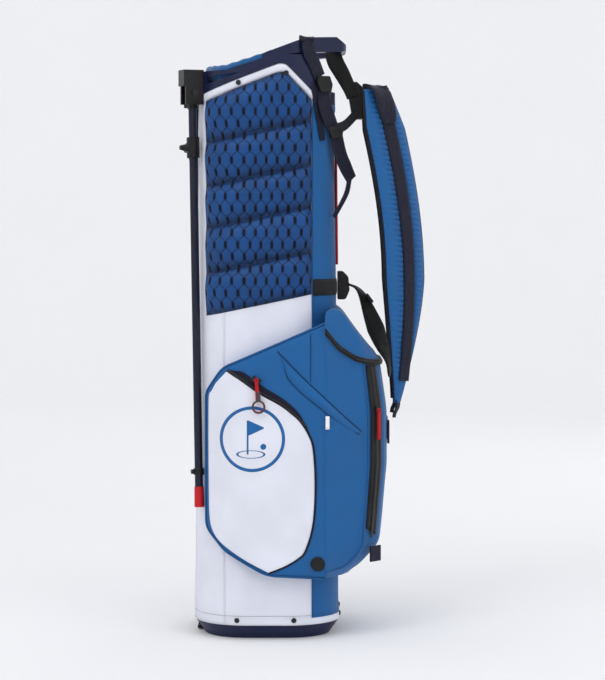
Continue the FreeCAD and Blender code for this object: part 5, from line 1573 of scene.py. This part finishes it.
def make_webbing():
    z = np.linspace(-12, 12, 7)
    rows = []
    turn = np.linspace(0, 1, 160)
    for dz in z:
        level_z = 512.0 + dz
        s0 = side_s(SEAM_X, level_z)
        s = s0 + (half_round(level_z) - 2 * s0) * turn
        rows.append(around(s, level_z, 1.0 + 0.9 * (1 - (dz / 12.0)**6))[0])
    laid = np.stack([np.repeat(z[:, None], 160, 1), np.repeat(turn[None] * 300, 7, 0)], -1)
    belt = cloth("spine_belt_web", np.array(rows), "black_webbing", "black_webbing", thick=1.2,
                 away=(0, 0, 512), uvs=laid.reshape(-1, 2))
    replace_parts(belt, "spine_belt")
    path = [(121, -2, 514), (134, -6, 508), (143, -9, 494), (155, -11, 464), (169, -10, 428), (181, -6, 402),
            (182, -2, 380)]
    turned = [(0, 1, 0), (0.3, 1, 0), (0.75, 0.8, 0.25), (0.9, 0.7, 0.35), (0.75, 0.8, 0.2), (0.35, 1, 0),
              (0.1, 1, 0)]
    cross = strap("cross_strap_web", path, turned, 32.0, 2.4, "black_webbing", count=70,
                  bow=0.8)
    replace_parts(cross, "cross_strap")
    p = peak()
    near_web = side_web("handle_web_near", [(59, 867), (61.5, p + 15), (70, p - 3), (77, p - 20)],
                        [21, 22, 21, 20], "handle_webbing")
    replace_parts(near_web, "handle_webbing")
    over = [on_side(58, 866, 1.1), on_side(58, 871.5, 0), on_side(58, 873, -8), on_side(58, 871, -19)]
    cap = strap("handle_web_cap", over, np.tile(SIDE_RUN, (4, 1)), 22.0, 1.9, "navy_webbing",
                count=20)
    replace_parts(cap, "handle_webbing")
    side_web("buckle_loop_web", [(83, p - 39), (84, p - 58), (89, p - 76), (96, p - 92)],
             [20, 24, 24, 21], "link_webbing", [0, 2.5, 3.5, 0.5])
    side_web("buckle_tail_web", [(102, p - 104), (107, p - 130), (115, p - 150), (124, p - 168)],
             [21, 23, 23, 19], "link_webbing", [0.5, 2.0, 3.0, 1.0])
    side_web("grab_web", [(121, p - 165), (117, p - 186), (108, p - 205), (98, p - 223)],
             [8, 8, 7, 6], "link_webbing", [1.0, 3.0, 3.0, 0.8])
    start = on_side(98.0, p - 95, 1.2)
    end = np.array([130.0, -17.3, p - 72])
    link = strap("yoke_link_web", [start, start * 0.5 + end * 0.5 + [0, 0, -5], end],
                 np.tile([0, 0, 1.0], (3, 1)), 15.0, 1.9, "navy_webbing", count=40)
    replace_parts(link, "link_webbing")
    path = [(96, -14, 858), (101, -16, 842), (111, -17, 824), (121, -18, 804), (126, -18, 790)]
    turned = [(0.85, 0.2, 0.3), (0.8, 0.15, 0.5), (0.8, 0.1, 0.55), (0.85, 0.1, 0.5), (0.9, 0.1, 0.3)]
    wide = strap("handle_link_web", path, turned, [24, 25, 23, 20, 17], 2.4, "black_webbing",
                 count=40)
    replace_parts(wide, "handle_link")
    for label, side in SIDES:
        z = np.linspace(p - 34, p - 112, 12)
        x = np.interp(z, [p - 112, p - 34], [80.0, 69.0])
        centre, out = around(side_s(x, z), z, 2.0)
        strap("seam_strap_" + label, centre * [1, side, 1],
              np.stack([-out[:, 1], out[:, 0], 0 * z], -1) * [1, side, 1],
              np.linspace(15, 10, 12), 1.6, "navy_webbing", count=40)
    for node in ("mid_buckle", "ladder_locks", "top_buckle"):
        refine(node, bevel=1.0, key="black_plastic")
    refine("yoke", bevel=2.0)
    make_spine_strip()


def make_spine_strip():
    refine("red_piping", bevel=0.6)
    z = np.linspace(545, 755, 80)[:, None]
    f = np.linspace(-1, 1, 15)[None]
    hx = body_size(z)[0]
    crown = 2.6 + 1.6 * (1 - np.abs(f)**3)
    grid = np.stack([hx + crown, f * 19.5 + 0 * z, z + 0 * f], -1)
    piece = cloth("spine_strip_cloth", grid, "blue_fabric", "blue_fabric", thick=2.2, away=(0, 0, 650))
    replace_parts(piece, "spine_strip")


# ---- top: collar, padded rim and dividers ------------------------------------------------------
def rim_line(x):
    p, w = peak(), sizes().top_x / MM
    return rounded_line([(-300, p - 14), (-0.6 * w, p - 11), (-0.2 * w, p + 1), (0.1 * w, p + 11),
                         (0.64 * w, p + 11), (0.74 * w, p - 40), (300, p - 47)])(x)


def make_top():
    refine("collar", bevel=1.4)
    turn = np.linspace(-1, 1, 340, endpoint=False)
    base, out = around(turn * half_round(peak()), peak(), -11.0)
    angle = np.linspace(0, TURN, 14, endpoint=False)
    centre = base.copy()
    centre[:, 2] = rim_line(base[:, 0]) - 3.0
    ripple = 1 + 0.05 * np.sin(np.arange(340) * TURN / 10)
    rings = [centre + out * (3.9 * math.cos(a)) + np.outer(ripple, [0, 0, 11.0 * math.sin(a)]) for a in angle]
    pad = loft("rim_pad_cloth", np.stack(rings, 1), "divider_fabric", closed=True)
    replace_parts(pad, "rim_padding")
    section = [(math.cos(a), math.sin(a)) for a in np.linspace(0, TURN, 20, endpoint=False)]

    def bar(name, start, end, wide):
        t = np.linspace(0, 1, 90)[:, None]
        line = np.array(start) * (1 - t) + np.array(end) * t
        run = unit(np.array(end) - np.array(start))
        side = np.array([-run[1], run[0]])
        tops = rim_line(line[:, 0])
        rings = []
        for (x, y), top in zip(line, tops):
            rings.append([(x + side[0] * wide * c, y + side[1] * wide * c,
                           top - 6.5 + 14.0 * math.copysign(abs(d)**0.7, d)) for c, d in section])
        made = loft(name, rings, "divider_fabric")
        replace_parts(made, "divider_padding")

    bar("divider_pad_long", (-79.0, 0.0), (79.0, 0.0), 6.6)
    bar("divider_pad_cross_near", (-14.0, -84.0), (-14.0, -6.0), 6.6)
    bar("divider_pad_cross_far", (-14.0, 84.0), (-14.0, 6.0), 6.6)
    z = np.linspace(51, 760, 60)[:, None]
    for name, ends in (("divider_sheet_long", ((-71, 0), (84, 0))),
                       ("divider_sheet_near", ((-14, -89), (-14, -3))),
                       ("divider_sheet_far", ((-14, 89), (-14, 3)))):
        t = np.linspace(0, 1, 24)[None, :, None]
        line = np.array(ends[0]) * (1 - t) + np.array(ends[1]) * t
        grid = np.concatenate([line + 0 * z[..., None], z[..., None] + 0 * line[..., :1]], -1)
        piece = cloth(name, grid, "navy_fabric", "divider_fabric", thick=0.8, away=(5, 7, 400))
        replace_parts(piece, "divider_sheets")


# ---- legs and base -----------------------------------------------------------------------------
def make_legs():
    for label, _ in SIDES:
        body = "leg_" + label
        refine("leg_head_" + label, body, 0.8)
        refine("leg_tube_" + label, body, 0)
        refine("leg_foot_" + label, body, 1.0)
        refine("leg_clamp_" + label, body, 1.0)
        refine("leg_clip_" + label, body, 0.4)
        refine("actuator_rod_" + label, "rod_" + label, 0)
    refine("leg_bracket", bevel=1.2)
    refine("bracket_screws", bevel=0.3)
    refine("hinge_pins", bevel=0)


def make_base():
    refine("base_cup", bevel=1.2)
    refine("foot_plate", "foot_plate", 1.0)
    refine("foot_pads", "foot_plate", 0.6)


# ---- stage -------------------------------------------------------------------------------------
FLOOR_REACH = 4300.0
COVE = 1200.0
WALL_TOP = 6500.0
FLOOR_RINGS = 24
FLOOR_SIDES = 96
VIEW_ANGLE = 16.47
LIGHT_TARGET = (0.05, 0, 0.45)
CAMERA_PLACE = (0.052, -3.5, 0.61)
CAMERA_TARGET = (0.052, 0, 0.431)
LIGHTS = (("key", (-1.6, -2.4, 3.0), 1.8, 26.0), ("fill", (2.6, -2.6, 1.2), 2.6, 8.0),
          ("top", (0.3, -1.0, 3.3), 1.6, 16.0), ("rim", (1.4, 2.2, 2.0), 1.6, 8.0))


def stand(name, data, place, target):
    """A light or camera in the scene, turned to look at a point."""
    holder = bpy.data.objects.new(name, data)
    holder.location = place
    holder.rotation_euler = (Vector(target) - Vector(place)).to_track_quat("-Z", "Y").to_euler()
    bpy.context.scene.collection.objects.link(holder)
    return holder


def make_stage():
    bend = np.linspace(0, math.pi / 2, 16)[1:]
    reach = np.concatenate([np.linspace(10, FLOOR_REACH, FLOOR_RINGS), FLOOR_REACH + COVE * np.sin(bend),
                            [FLOOR_REACH + COVE]])
    rise = np.concatenate([np.zeros(FLOOR_RINGS), COVE * (1 - np.cos(bend)), [WALL_TOP]])
    turn = np.linspace(0, TURN, FLOOR_SIDES, endpoint=False)
    grid = np.stack([np.outer(reach, np.cos(turn)), np.outer(reach, np.sin(turn)),
                     np.outer(rise, np.ones(FLOOR_SIDES))], -1)
    faces = [face[::-1] for face in quads(len(reach), FLOOR_SIDES, True).tolist()]
    faces.append(list(range(FLOOR_SIDES)))
    mesh = bpy.data.meshes.new("studio_floor")
    mesh.from_pydata((grid.reshape(-1, 3) * MM).tolist(), [], faces)
    mesh.materials.append(studio_floor("studio_floor"))
    mesh.polygons.foreach_set("use_smooth", [True] * len(mesh.polygons))
    floor = bpy.data.objects.new("studio_floor", mesh)
    bpy.context.scene.collection.objects.link(floor)
    world = bpy.data.worlds.new("studio")
    bpy.context.scene.world = world
    world.use_nodes = True
    world.node_tree.nodes["Background"].inputs[0].default_value = (0.93, 0.95, 1.0, 1)
    world.node_tree.nodes["Background"].inputs[1].default_value = 0.80
    for name, place, size, power in LIGHTS:
        lamp = bpy.data.lights.new(name, "AREA")
        lamp.size = size
        lamp.energy = power
        stand(name, lamp, place, LIGHT_TARGET)
    camera = bpy.data.cameras.new("camera")
    camera.sensor_fit = "VERTICAL"
    camera.sensor_height = 24.0
    camera.lens = camera.sensor_height / 2 / math.tan(math.radians(VIEW_ANGLE) / 2)
    bpy.context.scene.camera = stand("camera", camera, CAMERA_PLACE, CAMERA_TARGET)
    bpy.context.scene.view_settings.view_transform = "Standard"


# ---- operators ---------------------------------------------------------------------------------
class BAG_OT_stage(bpy.types.Operator):
    """Make the floor, lights and camera"""

    bl_idname = "bag.stage"
    bl_label = "Studio"
    bl_options = {"REGISTER", "UNDO"}

    def execute(self, context):
        make_stage()
        return {"FINISHED"}


class BAG_OT_body_fabric(bpy.types.Operator):
    """Make the bag's sewn tube, edge band, hem and rivets"""

    bl_idname = "bag.body_fabric"
    bl_label = "Body Fabric"
    bl_options = {"REGISTER", "UNDO"}

    def execute(self, context):
        make_body()
        return {"FINISHED"}


class BAG_OT_quilted_pads(bpy.types.Operator):
    """Make the quilted side pads with their slits and stitches"""

    bl_idname = "bag.quilted_pads"
    bl_label = "Quilted Pads"
    bl_options = {"REGISTER", "UNDO"}

    def execute(self, context):
        make_pads()
        return {"FINISHED"}


class BAG_OT_side_pockets(bpy.types.Operator):
    """Make the two side pockets, their flaps, zips and the round mark"""

    bl_idname = "bag.side_pockets"
    bl_label = "Side Pockets"
    bl_options = {"REGISTER", "UNDO"}

    def execute(self, context):
        make_side_pockets()
        return {"FINISHED"}


class BAG_OT_ball_pocket(bpy.types.Operator):
    """Make the ball pocket with its lid, piping, slip pocket and badge"""

    bl_idname = "bag.ball_pocket"
    bl_label = "Ball Pocket"
    bl_options = {"REGISTER", "UNDO"}

    def execute(self, context):
        make_ball_pocket()
        return {"FINISHED"}


class BAG_OT_corner_zip(bpy.types.Operator):
    """Make the corner zip, the sliders and the pulls"""

    bl_idname = "bag.corner_zip"
    bl_label = "Zips And Pulls"
    bl_options = {"REGISTER", "UNDO"}

    def execute(self, context):
        make_corner_zip()
        return {"FINISHED"}


class BAG_OT_shoulder_straps(bpy.types.Operator):
    """Make both padded shoulder straps and their webbing"""

    bl_idname = "bag.shoulder_straps"
    bl_label = "Shoulder Straps"
    bl_options = {"REGISTER", "UNDO"}

    def execute(self, context):
        make_straps()
        return {"FINISHED"}


class BAG_OT_webbing(bpy.types.Operator):
    """Make the belts, links, buckles, yoke and spine strip"""

    bl_idname = "bag.webbing"
    bl_label = "Webbing And Buckles"
    bl_options = {"REGISTER", "UNDO"}

    def execute(self, context):
        make_webbing()
        return {"FINISHED"}


class BAG_OT_top(bpy.types.Operator):
    """Make the collar, its handle, the padded rim and the dividers"""

    bl_idname = "bag.top"
    bl_label = "Collar And Dividers"
    bl_options = {"REGISTER", "UNDO"}

    def execute(self, context):
        make_top()
        return {"FINISHED"}


class BAG_OT_legs(bpy.types.Operator):
    """Make the stand legs, their bracket and rods"""

    bl_idname = "bag.legs"
    bl_label = "Stand Legs"
    bl_options = {"REGISTER", "UNDO"}

    def execute(self, context):
        make_legs()
        return {"FINISHED"}


class BAG_OT_base(bpy.types.Operator):
    """Make the moulded base and its hinged foot plate"""

    bl_idname = "bag.base"
    bl_label = "Base"
    bl_options = {"REGISTER", "UNDO"}

    def execute(self, context):
        make_base()
        return {"FINISHED"}


OPERATORS = (
    BAG_OT_stage,
    BAG_OT_body_fabric,
    BAG_OT_quilted_pads,
    BAG_OT_side_pockets,
    BAG_OT_ball_pocket,
    BAG_OT_corner_zip,
    BAG_OT_shoulder_straps,
    BAG_OT_webbing,
    BAG_OT_top,
    BAG_OT_legs,
    BAG_OT_base,
)


class BAG_PT_build(bpy.types.Panel):
    """Lists the bag's sizes, colours and makers."""

    bl_label = "Golf Stand Bag"
    bl_idname = "BAG_PT_build"
    bl_space_type = "VIEW_3D"
    bl_region_type = "UI"
    bl_category = "Golf Bag"

    def draw(self, context):
        for group in (context.scene.bag_sizes, context.scene.bag_colours):
            for key in group.bl_rna.properties.keys():
                if key not in ("rna_type", "name"):
                    self.layout.prop(group, key)
        for made in OPERATORS:
            self.layout.operator(made.bl_idname)


CLASSES = (BagSizes, BagColours) + OPERATORS + (BAG_PT_build,)


def register():
    for made in CLASSES:
        bpy.utils.register_class(made)
    bpy.types.Scene.bag_sizes = bpy.props.PointerProperty(type=BagSizes)
    bpy.types.Scene.bag_colours = bpy.props.PointerProperty(type=BagColours)


def unregister():
    del bpy.types.Scene.bag_colours
    del bpy.types.Scene.bag_sizes
    for made in reversed(CLASSES):
        bpy.utils.unregister_class(made)


def main():
    register()
    for made in OPERATORS:
        group, name = made.bl_idname.split(".")
        getattr(getattr(bpy.ops, group), name)()
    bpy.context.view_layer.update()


if __name__ == "__main__":
    main()
